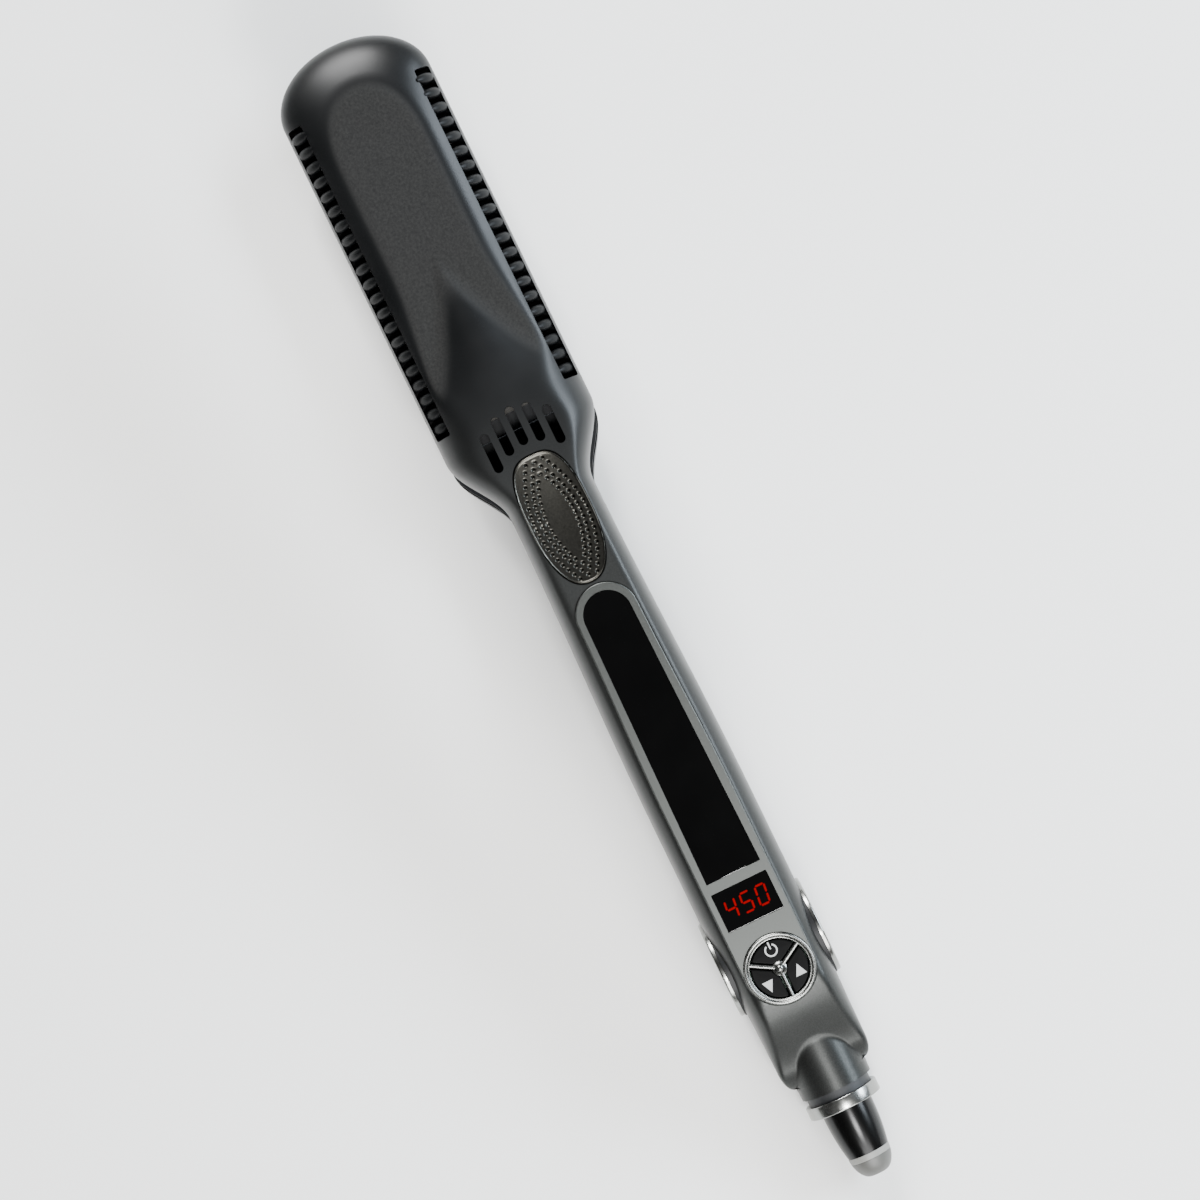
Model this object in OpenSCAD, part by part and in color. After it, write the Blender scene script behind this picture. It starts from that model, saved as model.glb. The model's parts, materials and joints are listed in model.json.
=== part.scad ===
// Hair straightener: two long arms on one hinge pin, each with a wide floating heated plate.
// The upper arm carries the thumb pad, the display panel, the three keys and the swivel cord boot.
//
// Every piece is drawn with the arms closed: u runs along X from the head tip to the tail, Y is the
// width and z = 0 is the plane where the plates meet. at_rest() then lays the lower arm on its
// crown, opens the upper arm about the hinge pin and puts the origin under the middle of the part.

/* [Head] */
// Half of the width of the head
head_half_w = 21.5; // [18:0.5:26]
// Length of the head, from its tip to the start of the shoulders
head_len = 114.5; // [95:0.5:140]
// Length of the rounded nose of the head, seen from above
nose_len = 15.4; // [12:0.1:20]
// Length over which the nose rises to the full height
nose_rise_len = 33.6; // [28:0.2:45]
// Length of the shoulders that lead into the handle
shoulder_len = 20.5; // [15:0.5:28]
// Height of the flat top of the head above the plate plane
plateau_z = 13.5; // [12:0.5:16]
// Half of the width of the flat top of the head
plateau_half_w = 12.6; // [10:0.1:14]

/* [Handle] */
// Length from the end of the shoulders to the hinge axis
handle_len = 133.5; // [110:0.5:165]
// Half of the width of the handle at its neck
neck_half_w = 12.3; // [10.5:0.1:13.5]
// Half of the width of the handle at its widest
grip_half_w = 14; // [12.5:0.1:17]
// Height of the crown of the handle above the plate plane
crown_z = 17.5; // [16:0.5:21]
// Thickness of the walls of the shells
wall = 2; // [1.6:0.1:2.4]
// Length of the raised spine that runs from the head into the handle
spine_len = 50.9; // [40:0.1:60]

/* [Tail] */
// Length from the hinge axis to the back of the tail block
tail_len = 37.5; // [34:0.5:45]
// Radius of the round boss at the tail
boss_r = 10; // [8.3:0.1:10.4]
// Length that the boss stands out behind the tail block
boss_out = 5.6; // [3:0.1:8]
// Width of the bright collar around the end of the boss
collar_w = 3.5; // [2.5:0.1:5]
// Length of the cord boot, without its tip
boot_len = 13.3; // [10:0.1:18]
// Length of the tip of the cord boot
boot_tip_len = 6.5; // [5:0.1:9]
// Radius of the cord boot at its wide end
boot_r = 7.1; // [6.5:0.1:8]
// Radius of the hole for the cord in the tip
cord_hole_r = 2; // [1.6:0.1:2.2]

/* [Plates] */
// Half of the width of a heated plate
plate_half_w = 16.2; // [12:0.1:17]
// Length of a heated plate
plate_len = 94; // [80:1:110]
// Thickness of a heated plate
plate_t = 2.4; // [1.8:0.1:2.6]
// Distance that a floating plate can sink into its arm
float_travel = 1; // [0.5:0.1:1.2]
// Length that a cushion spring keeps when its plate has sunk all the way
spring_shut_len = 3.5; // [3:0.1:4]
// Radius of a cushion spring under a plate
cushion_r = 3; // [2.5:0.1:4]

/* [Hinge] */
// Angle between the arms when they spring open
open_angle = 8; // [4:0.5:8]
// Radius of the hinge pin
pin_r = 2.5; // [2:0.1:3]
// Radius of the round ears of the yoke
ear_r = 13.8; // [12:0.1:14]
// Radius of the knuckle of the tongue
knuckle_r = 8; // [7:0.1:9]
// Radius of the bright caps over the hinge
cap_r = 13.5; // [11:0.1:13.6]

/* [Controls] */
// Length of the thumb pad
pad_len = 37.4; // [32:0.1:42]
// Half of the width of the thumb pad
pad_half_w = 8.8; // [7.5:0.1:9.5]
// Outer radius of the bright control ring
ring_r = 9.55; // [9:0.05:10.5]
// Width of the band of the control ring
ring_band = 1.6; // [1.2:0.1:2]
// Width of a spoke between two keys
spoke_w = 1.1; // [0.9:0.1:1.6]
// Travel of a key
key_travel = 0.6; // [0.3:0.1:0.6]
// Length of the temperature window
led_len = 10.9; // [9:0.1:12]
// Distance from the start of the shoulders to the thumb pad
pad_offset = 8.2; // [6:0.1:12]
// Distance from the hinge axis to the middle of the keys, towards the tail
key_offset = 4.7; // [1:0.1:6]
// Distance from the start of the temperature window to the middle of the keys
led_offset = 25; // [21:0.1:27]
// Width of the bar between the two windows
window_bar = 3; // [2:0.1:4]

/* [Vents] */
// Number of gaps in each side row
rim_gaps = 21; // [12:1:26]
// Length of one gap in a side row
rim_gap_len = 1.6; // [1.2:0.1:2]
// Number of slots behind the head
slot_count = 5; // [5:1:5]
// Width of one slot behind the head
slot_w = 2.6; // [2:0.1:3]
// Length of one slot behind the head
slot_len = 11.1; // [9:0.1:13]
// Distance between the middles of two slots
slot_pitch = 4.55; // [4.4:0.05:5]

/* [Clearances] */
// Gap between pieces that slide or turn past each other
gap = 0.3; // [0.2:0.05:0.5]
// Gap around a shaft in its hole
run_gap = 0.05; // [0.02:0.01:0.1]
// Gap around a piece that is set into a shell
seat_gap = 0.1; // [0.05:0.05:0.2]

/* [Hidden] */
$fn = 48;
eps = 0.01;
// Farther than any piece reaches across the width
aside = 20;

// Stations along the length, from the head tip
neck_u = head_len + shoulder_len;
hinge_u = neck_u + handle_len;
tail_u = hinge_u + tail_len;
boss_u = tail_u + boss_out;
boot_u = boss_u + gap + collar_w + gap;
boot_end_u = boot_u + boot_len;
tip_u = boot_end_u + boot_tip_len;
spine_u = head_len - spine_len;
key_u = hinge_u + key_offset;
pad_u = head_len + pad_offset;
bezel_u = pad_u + pad_len + 0.9;
led_u = key_u - led_offset;
window_u = bezel_u + 2.2;
window_end_u = led_u - window_bar;
board_head_u = bezel_u + 20;

// Heights above the plate plane
skirt_z = 3;
dome_base_z = 3.6;
frame_z = 1.3;
cover_z = 1.5;
plate_z = 0.2;
carrier_z = plate_z + plate_t;
carrier_top_z = plateau_z - wall - spring_shut_len - float_travel;
bezel_top_z = crown_z + 0.6;
rebate_z = crown_z - 1.2;
board_z = knuckle_r + 2.4;
board_t = 1.4;
board_half_w = 8.5;

// Derived shape of the shells
head_dome_h = (plateau_z - dome_base_z) / sqrt(1 - pow(plateau_half_w / head_half_w, 2));
handle_dome_h = crown_z - dome_base_z + 2;
tail_half_w = grip_half_w - 1.1;
tail_round_len = 6;
tail_fall_u = hinge_u + 10;
tail_fall = 12;
tail_depth = 13.2;
grip_u = neck_u + handle_len * 0.67;
narrow_u = hinge_u - 19.5;
collar_r = boss_r + 0.25;
tip_r = cord_hole_r + 0.8;
arm_end_u = hinge_u - ear_r - 0.7;
post_r = 3;
tail_screw_u = hinge_u + 23;
tail_screw_y = 5;
screw_hole_r = 1.25;
screw_r = 1.1;

// Hinge, across the width and around the pin
tongue_half_w = 10.4;
ear_in_y = tongue_half_w + 0.5;
ear_out_y = ear_in_y + 2.7;
bush_r = pin_r + 0.8;
coil_r = pin_r + 0.5;
wire_r = 0.6;
spring_half_w = 3.1;
leg_y = spring_half_w - wire_r;
leg_z = coil_r + wire_r;
tongue_leg_len = 15;
bridge_x = knuckle_r + 1.4;
bridge_t = 3;

// Cord swivel
stem_r = 4;
cord_way_r = cord_hole_r + 0.6;
bush_head_u = tail_u - 2.5;
swivel_bore_r = boss_r - 1;

// Heater
heater_half_w = 9;
heater_t = 2.2;

// Keys: how far out their marks and switches lie, and where they start
key_mid_r = 4.8;
key_low_z = rebate_z - 0.9 - key_travel;
key_stem_len = 0.5;
hub_r = 1.85;

// Side vent rows
rim_in = head_half_w - 4.7;
rim_out = head_half_w - 0.7;
rim_u = 16.4;
rim_end_u = head_len - 6.2;
rim_pitch = (rim_end_u - rim_u - rim_gap_len) / rim_gaps;

// Where the plates lie
plate_u = nose_len - 1.4;
plate_end_u = plate_u + plate_len;
plate_mid_u = (plate_u + plate_end_u) / 2;
cushion_us = [plate_mid_u - plate_len * 0.3, plate_mid_u + plate_len * 0.22];
screw_us = [neck_u + 6, window_end_u + window_bar / 2];

// The middle of the whole part, on the surface it lies on
tip_x = (tip_u - hinge_u) * cos(open_angle) + tip_r * sin(open_angle);
mid_x = (tip_x - hinge_u) / 2;

// ---------- Shape functions ----------

function ease(t) = let (c = max(0, min(1, t))) c * c * (3 - 2 * c);

function soft_min(a, b, k) = let (h = max(k - abs(a - b), 0) / k) min(a, b) - h * h * k / 4;

// Half width of an arm at u, seen from above, moved inwards by inset
function half_w(u, inset) =
    u < nose_len ? (head_half_w - inset)
        * sqrt(max(0.0001, 1 - pow((nose_len - u) / (nose_len - inset), 2))) :
    u < neck_u ? head_half_w - inset + (neck_half_w - head_half_w) * ease((u - head_len) / shoulder_len) :
    u < narrow_u ? neck_half_w - inset
        + (grip_half_w - neck_half_w) * ease((u - neck_u) / (grip_u - neck_u)) :
    u < tail_u - tail_round_len ? grip_half_w - inset
        + (tail_half_w - grip_half_w) * ease((u - narrow_u) / (tail_u - tail_round_len - narrow_u)) :
    boss_r - inset + (tail_half_w - boss_r)
        * sqrt(max(0, 1 - pow((u - tail_u + tail_round_len) / tail_round_len, 2)));

// Share of the full height over the rising nose
function nose_rise(u, inset) = u < nose_rise_len
    ? sqrt(max(0.0001, 1 - pow((nose_rise_len - u) / (nose_rise_len - inset), 2))) : 1;

// How far the tail block has fallen below the crown
function fall(u) = tail_fall * ease((u - tail_fall_u) / (tail_u - tail_fall_u));

// Height of the raised spine above the plateau, as a ridge that widens towards the handle
function spine(u, y) = let (
    run = max(0, u - spine_u),
    half = 0.1 + 0.51 * run * (1 + pow(run / 45, 6)),
    crest = pow(sin(90 * min(1, run / (spine_len - 2.5))), 1.2)
) (crown_z - plateau_z) * crest * pow(cos(90 * min(1, abs(y) / half)), 2);

// Exponent of the arched section: an ellipse on the head, squarer on the handle
function arch_n(u) = 2 + ease((u - head_len + 10) / (shoulder_len + 10));

function dome_h(u) = head_dome_h + (handle_dome_h - head_dome_h) * ease((u - spine_u) / spine_len) - fall(u);

// Height of the outer surface where y is the share s of the half width
function top_z(u, s, inset) = let (
    n = arch_n(u),
    y = half_w(u, inset) * s,
    arch = dome_base_z + (dome_h(u) - inset) * nose_rise(u, inset)
        * pow(max(0, 1 - pow(abs(s), n)), 1 / n)
) soft_min(arch, plateau_z + spine(u, y) - fall(u) - inset, 1);

// One closed ring of points across an arm: the arch, then the two feet, which reach down to the
// plate plane on the tail block
function arm_ring(u, inset, foot_z, steps) = let (
    low_z = u < hinge_u ? foot_z : foot_z - skirt_z
) concat(
    [for (k = [0 : steps]) let (s = sin(180 * k / steps - 90))
        [u, half_w(u, inset) * s, top_z(u, s, inset)]],
    [[u, half_w(u, inset), low_z], [u, -half_w(u, inset), low_z]]
);

// One closed ring across the lower side of the tail block
function tail_ring(u, inset, steps) = let (
    depth = tail_depth - inset - (tail_depth - boss_r - 0.4) * ease((u - hinge_u) / tail_len)
) concat(
    [for (k = [0 : steps]) let (s = sin(90 - 180 * k / steps))
        [u, half_w(u, inset) * s, -0.6 - (depth - 0.6) * pow(max(0, 1 - pow(abs(s), 2.6)), 1 / 2.6)]],
    [[u, -half_w(u, inset), 0], [u, half_w(u, inset), 0]]
);

// Places of the rings along an arm
function stations(inset, last_u, fine) = concat(
    [for (k = [1 : 8 * fine]) inset + (nose_len - inset) * (1 - cos(90 * k / (8 * fine)))],
    [for (k = [1 : 5]) nose_len + (spine_u - nose_len) * k / 5],
    [for (k = [1 : 7 * fine]) spine_u + spine_len * k / (7 * fine)],
    [for (k = [1 : 6]) head_len + shoulder_len * k / 6],
    [for (k = [1 : 6]) neck_u + (narrow_u - neck_u) * k / 6],
    [for (k = [1 : 3]) narrow_u + (min(last_u, tail_fall_u) - narrow_u) * k / 3],
    last_u > tail_fall_u ? [for (k = [1 : 8]) tail_fall_u
        + (last_u - tail_fall_u) * (1 - pow(1 - k / 8, 1.5))] : []
);

// Outline of an arm seen from above, between two stations
function arm_outline(from_u, to_u, inset) = let (
    us = [for (k = [0 : 30]) from_u + (to_u - from_u) * pow(k / 30, 1.5)]
) concat(
    [for (u = us) [u, half_w(u, inset)]],
    [for (k = [30 : -1 : 0]) [us[k], -half_w(us[k], inset)]]
);

// Superellipse outline with its own exponent for the head end and the tail end
function pad_outline(mid, half_len, half, grow) = [for (a = [3.75 : 7.5 : 359]) let (
    n = cos(a) < 0 ? 3 : 2.3,
    c = abs(cos(a)),
    s = abs(sin(a))
) [
    mid + (half_len + grow) * sign(cos(a)) * pow(c, 2 / n),
    (half + grow) * sign(sin(a)) * pow(s, 2 / n)
]];

// ---------- Building blocks ----------

// Solid through a list of rings that all have the same number of points
module loft(rings) {
    n = len(rings[0]);
    last = len(rings) - 1;
    sides = [for (i = [0 : last - 1], k = [0 : n - 1]) let (
        a = i * n + k,
        b = i * n + (k + 1) % n
    ) each [[a, b, b + n], [a, b + n, a + n]]];
    polyhedron(
        points = [for (r = rings) each r],
        faces = concat([[for (k = [n - 1 : -1 : 0]) k]], sides, [[for (k = [0 : n - 1]) last * n + k]])
    );
}

module arm_solid(inset, foot_z, last_u, steps, fine) {
    loft([for (u = stations(inset, last_u, fine)) arm_ring(u, inset, foot_z, steps)]);
}

// Puts a piece that is drawn along Z onto the length, starting at u
module along_u(u) {
    translate([u, 0, 0])
        rotate([0, 90, 0])
            children();
}

// A cylinder on the hinge axis between two widths
module hinge_disc(r, from_y, to_y) {
    translate([hinge_u, from_y, 0])
        rotate([-90, 0, 0])
            cylinder(r = r, h = to_y - from_y);
}

// The same on one side of the middle, from in_y to out_y
module hinge_ring(r, side, in_y, out_y) {
    hinge_disc(r, min(side * in_y, side * out_y), max(side * in_y, side * out_y));
}

// The part as it lies on a surface: origin under its middle
module at_rest() {
    translate([-hinge_u - mid_x, 0, crown_z])
        children();
}

module lower_arm() {
    at_rest()
        mirror([0, 0, 1])
            children();
}

module upper_arm() {
    at_rest()
        translate([hinge_u, 0, 0])
            rotate([0, open_angle, 0])
                translate([-hinge_u, 0, 0])
                    children();
}

module plate_outline(grow) {
    corner = 3;
    for (u = [plate_u + corner, plate_end_u - corner])
        for (side = [-1, 1])
            translate([u, side * (plate_half_w - corner)])
                circle(r = corner + grow);
    translate([plate_u - grow, -plate_half_w + corner])
        square([plate_len + 2 * grow, 2 * (plate_half_w - corner)]);
    translate([plate_u + corner, -plate_half_w - grow])
        square([plate_len - 2 * corner, 2 * (plate_half_w + grow)]);
}

// Outline of the display panel: round at the head end, running into the control ring
module bezel_outline(grow) {
    side = [for (k = [0 : 12]) let (u = bezel_u + 8.2 + (key_u - bezel_u - 8.2) * k / 12)
        [u, bezel_half_w(u) + grow]];
    polygon(concat(
        [[bezel_u + 8.2, 0]],
        side,
        [[key_u, 0]]
    ));
    mirror([0, 1])
        polygon(concat([[bezel_u + 8.2, 0]], side, [[key_u, 0]]));
    translate([bezel_u + 8.6, 0])
        circle(r = 8.6 + grow);
    translate([key_u, 0])
        circle(r = ring_r + 0.3 + grow);
}

function bezel_half_w(u) = 8.5 + 1.6 * ease((u - bezel_u - 6) / (led_u - bezel_u - 30));

// Outline of the long dark window: round at the head end, square at the other
module window_outline(grow) {
    round_u = window_u + 6.6;
    translate([round_u, 0])
        circle(r = 6.6 + grow);
    polygon([
        [round_u, -6.6 - grow],
        [window_end_u + grow, -7.8 - grow],
        [window_end_u + grow, 7.8 + grow],
        [round_u, 6.6 + grow]
    ]);
}

module led_outline(grow) {
    translate([led_u - grow, -8 - grow])
        square([led_len + 2 * grow, 16 + 2 * grow]);
}

// ---------- Shells ----------

module slots() {
    for (k = [0 : slot_count - 1])
        let (row = k - (slot_count - 1) / 2, u = head_len - 6.1 + 0.95 * row * row)
            hull()
                for (end_u = [u + slot_w / 2, u + slot_len - slot_w / 2])
                    translate([end_u, slot_pitch * row, dome_base_z])
                        cylinder(r = slot_w / 2, h = crown_z, $fn = 20);
}

// Posts that take the screws of the inner cover
module screw_posts() {
    for (u = screw_us)
        translate([u, 0, skirt_z])
            cylinder(r = post_r, h = crown_z - wall - skirt_z);
}

module rim_slots() {
    for (side = [-1, 1])
        hull()
            for (u = [rim_u, rim_end_u - 1])
                translate([u, min(side * rim_in, side * rim_out), skirt_z - 1])
                    cube([1, rim_out - rim_in, 20]);
}

module arm_shell(last_u) {
    difference() {
        union() {
            difference() {
                arm_solid(0, skirt_z, last_u, 22, 1);
                arm_solid(wall, skirt_z - 2, last_u - wall, 16, 1);
            }
            intersection() {
                screw_posts();
                arm_solid(wall / 2, skirt_z, last_u, 10, 1);
            }
        }
        slots();
        rim_slots();
        for (u = screw_us)
            translate([u, 0, skirt_z - 1])
                cylinder(r = screw_hole_r, h = 9);
    }
}

module lower_shell() {
    color("#2b2c2d")
        lower_arm()
            difference() {
                arm_shell(hinge_u + 1);
                hinge_disc(ear_r + gap, -aside, aside);
                translate([hinge_u - ear_r, -grip_half_w + wall, skirt_z - 1])
                    cube([ear_r + 2, 2 * (grip_half_w - wall), crown_z - wall - skirt_z + 1]);
            }
}

module upper_shell() {
    color("#3a3b3b")
        upper_arm()
            difference() {
                union() {
                    arm_shell(tail_u);
                    intersection() {
                        along_u(tail_u - 15)
                            cylinder(r = boss_r, h = boss_out + 15);
                        translate([tail_u - 15, -boss_r, 0])
                            cube([boss_out + 15, 2 * boss_r, boss_r]);
                    }
                }
                // Clear of the yoke, the tongue and everything in the tail
                for (side = [-1, 1])
                    hinge_ring(ear_r + seat_gap, side, ear_in_y - seat_gap, grip_half_w + 1);
                tail_bores();
                panel_cuts();
            }
}

// The hollow of the tail block and the bore that takes the swivel bush
module tail_bores() {
    along_u(tail_u - 16)
        cylinder(r = boss_r - wall, h = 16);
    along_u(tail_u - 3)
        cylinder(r = swivel_bore_r, h = boss_out + 4);
}

// Rebates and openings for the thumb pad, the display panel and the keys
module panel_cuts() {
    translate([0, 0, rebate_z - seat_gap])
        linear_extrude(5) {
            polygon(pad_outline(pad_u + pad_len / 2, pad_len / 2, pad_half_w, seat_gap));
            bezel_outline(seat_gap);
        }
    translate([0, 0, board_z])
        linear_extrude(10) {
            window_outline(-0.8);
            led_outline(-0.2);
            translate([key_u, 0])
                circle(r = ring_r - 0.5);
        }
}

module tail_cover() {
    color("#6b6b68")
        upper_arm()
            difference() {
                union() {
                    difference() {
                        loft([for (k = [0 : 12]) tail_ring(hinge_u + 6 + (tail_len - 6) * k / 12, 0, 20)]);
                        translate([0, 0, eps])
                            loft([for (k = [0 : 12]) tail_ring(hinge_u + 5 + (tail_len - 7) * k / 12, wall, 14)]);
                    }
                    intersection() {
                        along_u(tail_u - 10)
                            cylinder(r = boss_r, h = boss_out + 10);
                        translate([tail_u - 10, -boss_r, -boss_r])
                            cube([boss_out + 10, 2 * boss_r, boss_r]);
                    }
                }
                hinge_disc(ear_r + gap, -aside, aside);
                tail_bores();
                for (side = [-1, 1])
                    translate([tail_screw_u, side * tail_screw_y, -tail_depth])
                        cylinder(r = screw_hole_r, h = tail_depth);
            }
}

// ---------- Covers and frames inside the arms ----------

module inner_cover() {
    difference() {
        translate([0, 0, cover_z])
            linear_extrude(skirt_z - cover_z)
                polygon(arm_outline(head_len, arm_end_u, 0.2));
        for (u = screw_us) {
            translate([u, 0, 0])
                cylinder(r = 1.3, h = 5);
            translate([u, 0, 0])
                cylinder(r = 2.5, h = cover_z + 0.8);
        }
    }
}

module lower_inner_cover() {
    color("#242526")
        lower_arm()
            inner_cover();
}

module upper_inner_cover() {
    color("#242526")
        upper_arm()
            inner_cover();
}

module cover_screws() {
    for (u = screw_us)
        translate([u, 0, cover_z + 0.1]) {
            difference() {
                cylinder(r = 2.3, h = 0.7);
                for (turn = [0, 90])
                    rotate(turn)
                        translate([-1.4, -0.25, -eps])
                            cube([2.8, 0.5, 0.4]);
            }
            cylinder(r = screw_r, h = 8);
        }
}

module lower_cover_screws() {
    color("#8f9092")
        lower_arm()
            cover_screws();
}

module upper_cover_screws() {
    color("#8f9092")
        upper_arm()
            cover_screws();
}

module plate_frame() {
    difference() {
        translate([0, 0, frame_z])
            linear_extrude(skirt_z - frame_z)
                polygon(arm_outline(0.6, head_len - 0.3, 0.3));
        translate([0, 0, frame_z - 1])
            linear_extrude(skirt_z)
                plate_outline(gap);
    }
}

module lower_plate_frame() {
    color("#1d1e20")
        lower_arm()
            plate_frame();
}

module upper_plate_frame() {
    color("#1d1e20")
        upper_arm()
            plate_frame();
}

// A side vent strip: a rail with one rib between every two gaps
module vent_strip(side) {
    rail_z = 4.6;
    low_y = rim_in + seat_gap;
    high_y = rim_out - seat_gap;
    arch_z = function (y) dome_base_z + head_dome_h * sqrt(1 - pow(y / head_half_w, 2)) - 0.3;
    rib_len = rim_pitch - rim_gap_len;
    translate([rim_u + seat_gap, min(side * low_y, side * high_y), skirt_z])
        cube([rim_end_u - rim_u - 2 * seat_gap, high_y - low_y, rail_z - skirt_z]);
    for (k = [0 : rim_gaps])
        let (start = max(rim_u + seat_gap, rim_u + k * rim_pitch - rib_len + rim_gap_len))
            translate([start, 0, 0])
                rotate([90, 0, 90])
                    linear_extrude(min(rib_len, rim_end_u - seat_gap - start))
                        polygon([
                            [side * low_y, skirt_z],
                            [side * high_y, skirt_z],
                            [side * high_y, arch_z(high_y)],
                            [side * (low_y + high_y) / 2, arch_z((low_y + high_y) / 2)],
                            [side * low_y, arch_z(low_y)]
                        ]);
}

module lower_vent_left() {
    color("#161718")
        lower_arm()
            vent_strip(-1);
}

module lower_vent_right() {
    color("#161718")
        lower_arm()
            vent_strip(1);
}

module upper_vent_left() {
    color("#161718")
        upper_arm()
            vent_strip(-1);
}

module upper_vent_right() {
    color("#161718")
        upper_arm()
            vent_strip(1);
}

// ---------- Floating plates ----------

module heated_plate() {
    translate([0, 0, plate_z])
        linear_extrude(plate_t)
            plate_outline(0);
}

// The carrier lies on the back of the plate and catches on the frame with its flange
module plate_carrier() {
    difference() {
        union() {
            translate([plate_u + 4, -plate_half_w + 2.5, carrier_z])
                cube([plate_len - 8, 2 * plate_half_w - 5, carrier_top_z - carrier_z]);
            for (u = [plate_u - 1.4, plate_end_u - 2.6])
                translate([u, -6, skirt_z + seat_gap])
                    cube([4, 12, 1.4]);
            for (u = [plate_u + 2.5, plate_end_u - 4.1])
                translate([u, -6, carrier_z])
                    cube([1.6, 12, 3]);
        }
        translate([plate_u + 8, -heater_half_w - seat_gap, carrier_z - 1])
            cube([plate_len - 16, 2 * (heater_half_w + seat_gap), heater_t + 1 + seat_gap]);
        for (u = cushion_us)
            translate([u, 0, carrier_top_z - 1])
                cylinder(r = cushion_r + 0.4, h = 2);
    }
}

module heater() {
    translate([plate_u + 12, -heater_half_w, carrier_z])
        cube([plate_len - 24, 2 * heater_half_w, heater_t]);
}

// Coil springs between the back of the carrier and the inside of the shell
module cushion_springs() {
    coil_wire_r = 0.45;
    low_z = carrier_top_z - 1;
    high_z = plateau_z - wall;
    turns = 5;
    for (u = cushion_us)
        translate([u, 0, 0])
            for (k = [0 : turns - 1])
                translate([0, 0, low_z + coil_wire_r + (high_z - low_z - 2 * coil_wire_r) * k / (turns - 1)])
                    rotate_extrude()
                        translate([cushion_r - coil_wire_r, 0])
                            circle(r = coil_wire_r, $fn = 16);
}

module lower_plate() {
    color("#9a9a98")
        lower_arm()
            heated_plate();
}

module upper_plate() {
    color("#9a9a98")
        upper_arm()
            heated_plate();
}

module lower_heater() {
    color("#d8cfa8")
        lower_arm()
            heater();
}

module upper_heater() {
    color("#d8cfa8")
        upper_arm()
            heater();
}

module lower_plate_carrier() {
    color("#555350")
        lower_arm()
            plate_carrier();
}

module upper_plate_carrier() {
    color("#555350")
        upper_arm()
            plate_carrier();
}

module lower_cushion_springs() {
    color("#b4b6b8")
        lower_arm()
            cushion_springs();
}

module upper_cushion_springs() {
    color("#b4b6b8")
        upper_arm()
            cushion_springs();
}

// It lies under the flat top of the head, between the two cushion springs
module thermal_fuse() {
    fuse_r = 1.5;
    fuse_len = 9;
    lead_len = 3;
    color("#c9c2b2")
        upper_arm()
            translate([0, 0, plateau_z - wall - fuse_r - 0.2]) {
                along_u(plate_mid_u - fuse_len)
                    cylinder(r = fuse_r, h = fuse_len);
                along_u(plate_mid_u - fuse_len - lead_len)
                    cylinder(r = 0.5, h = fuse_len + 2 * lead_len);
            }
}

// ---------- Hinge ----------

// The tongue of the lower arm: a knuckle on the pin and a neck into the lower shell, held there by
// the rear screw post. A groove takes one leg of the spring
module hinge_tongue() {
    neck_len = 30;
    color("#3c3c3a")
        lower_arm()
            difference() {
                union() {
                    hinge_disc(knuckle_r, -tongue_half_w, tongue_half_w);
                    translate([hinge_u - neck_len, -tongue_half_w, skirt_z + eps])
                        cube([neck_len, 2 * tongue_half_w, knuckle_r - skirt_z]);
                }
                hinge_disc(bush_r, -tongue_half_w - 1, tongue_half_w + 1);
                hinge_disc(knuckle_r + 1, -spring_half_w - gap, spring_half_w + gap);
                translate([screw_us[1], 0, 0])
                    cylinder(r = post_r + seat_gap, h = crown_z);
                translate([hinge_u - tongue_leg_len - gap, leg_y - wire_r - run_gap, leg_z - wire_r - run_gap])
                    cube([tongue_leg_len, 2 * (wire_r + run_gap), crown_z]);
            }
}

module hinge_bushes() {
    flange_r = pin_r + 2;
    color("#c8a455")
        lower_arm()
            for (side = [-1, 1])
                difference() {
                    union() {
                        hinge_ring(bush_r, side, spring_half_w + 0.5, tongue_half_w);
                        hinge_ring(flange_r, side, tongue_half_w, tongue_half_w + 0.3);
                    }
                    hinge_disc(pin_r + run_gap, -ear_out_y, ear_out_y);
                }
}

// A torsion spring around the pin: its closed turns as one sleeve, one leg in the groove of the
// tongue and one under the bridge of the yoke
module opening_spring() {
    color("#b4b6b8")
        lower_arm() {
            difference() {
                hinge_disc(coil_r + 2 * wire_r, -spring_half_w, spring_half_w);
                hinge_disc(coil_r, -spring_half_w - 1, spring_half_w + 1);
            }
            for (side = [-1, 1])
                translate([hinge_u, side * leg_y, leg_z])
                    rotate([0, -90 * side, 0])
                        cylinder(r = wire_r - eps, h = side < 0 ? bridge_x + 2 : tongue_leg_len);
        }
}

module hinge_pin() {
    color("#a9abad")
        upper_arm()
            hinge_disc(pin_r, -ear_out_y + seat_gap, ear_out_y - seat_gap);
}

// The yoke of the upper arm: two round ears and the bridge behind the knuckle, with a notch for the
// leg of the spring
module hinge_yoke() {
    half_h = 4.5;
    notch_top_z = bridge_x * sin(open_angle) - leg_z + 2 * wire_r;
    color("#4a4a48")
        upper_arm()
            difference() {
                union() {
                    for (side = [-1, 1])
                        hinge_ring(ear_r, side, ear_in_y, ear_out_y);
                    translate([hinge_u + bridge_x, -ear_in_y - eps, -half_h])
                        cube([bridge_t, 2 * (ear_in_y + eps), 2 * half_h]);
                }
                hinge_disc(pin_r, -aside, aside);
                translate([hinge_u + bridge_x - 1, -leg_y - wire_r - gap, -half_h - 1])
                    cube([bridge_t + 2, 2 * (wire_r + gap), notch_top_z + half_h + 1]);
            }
}

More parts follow.
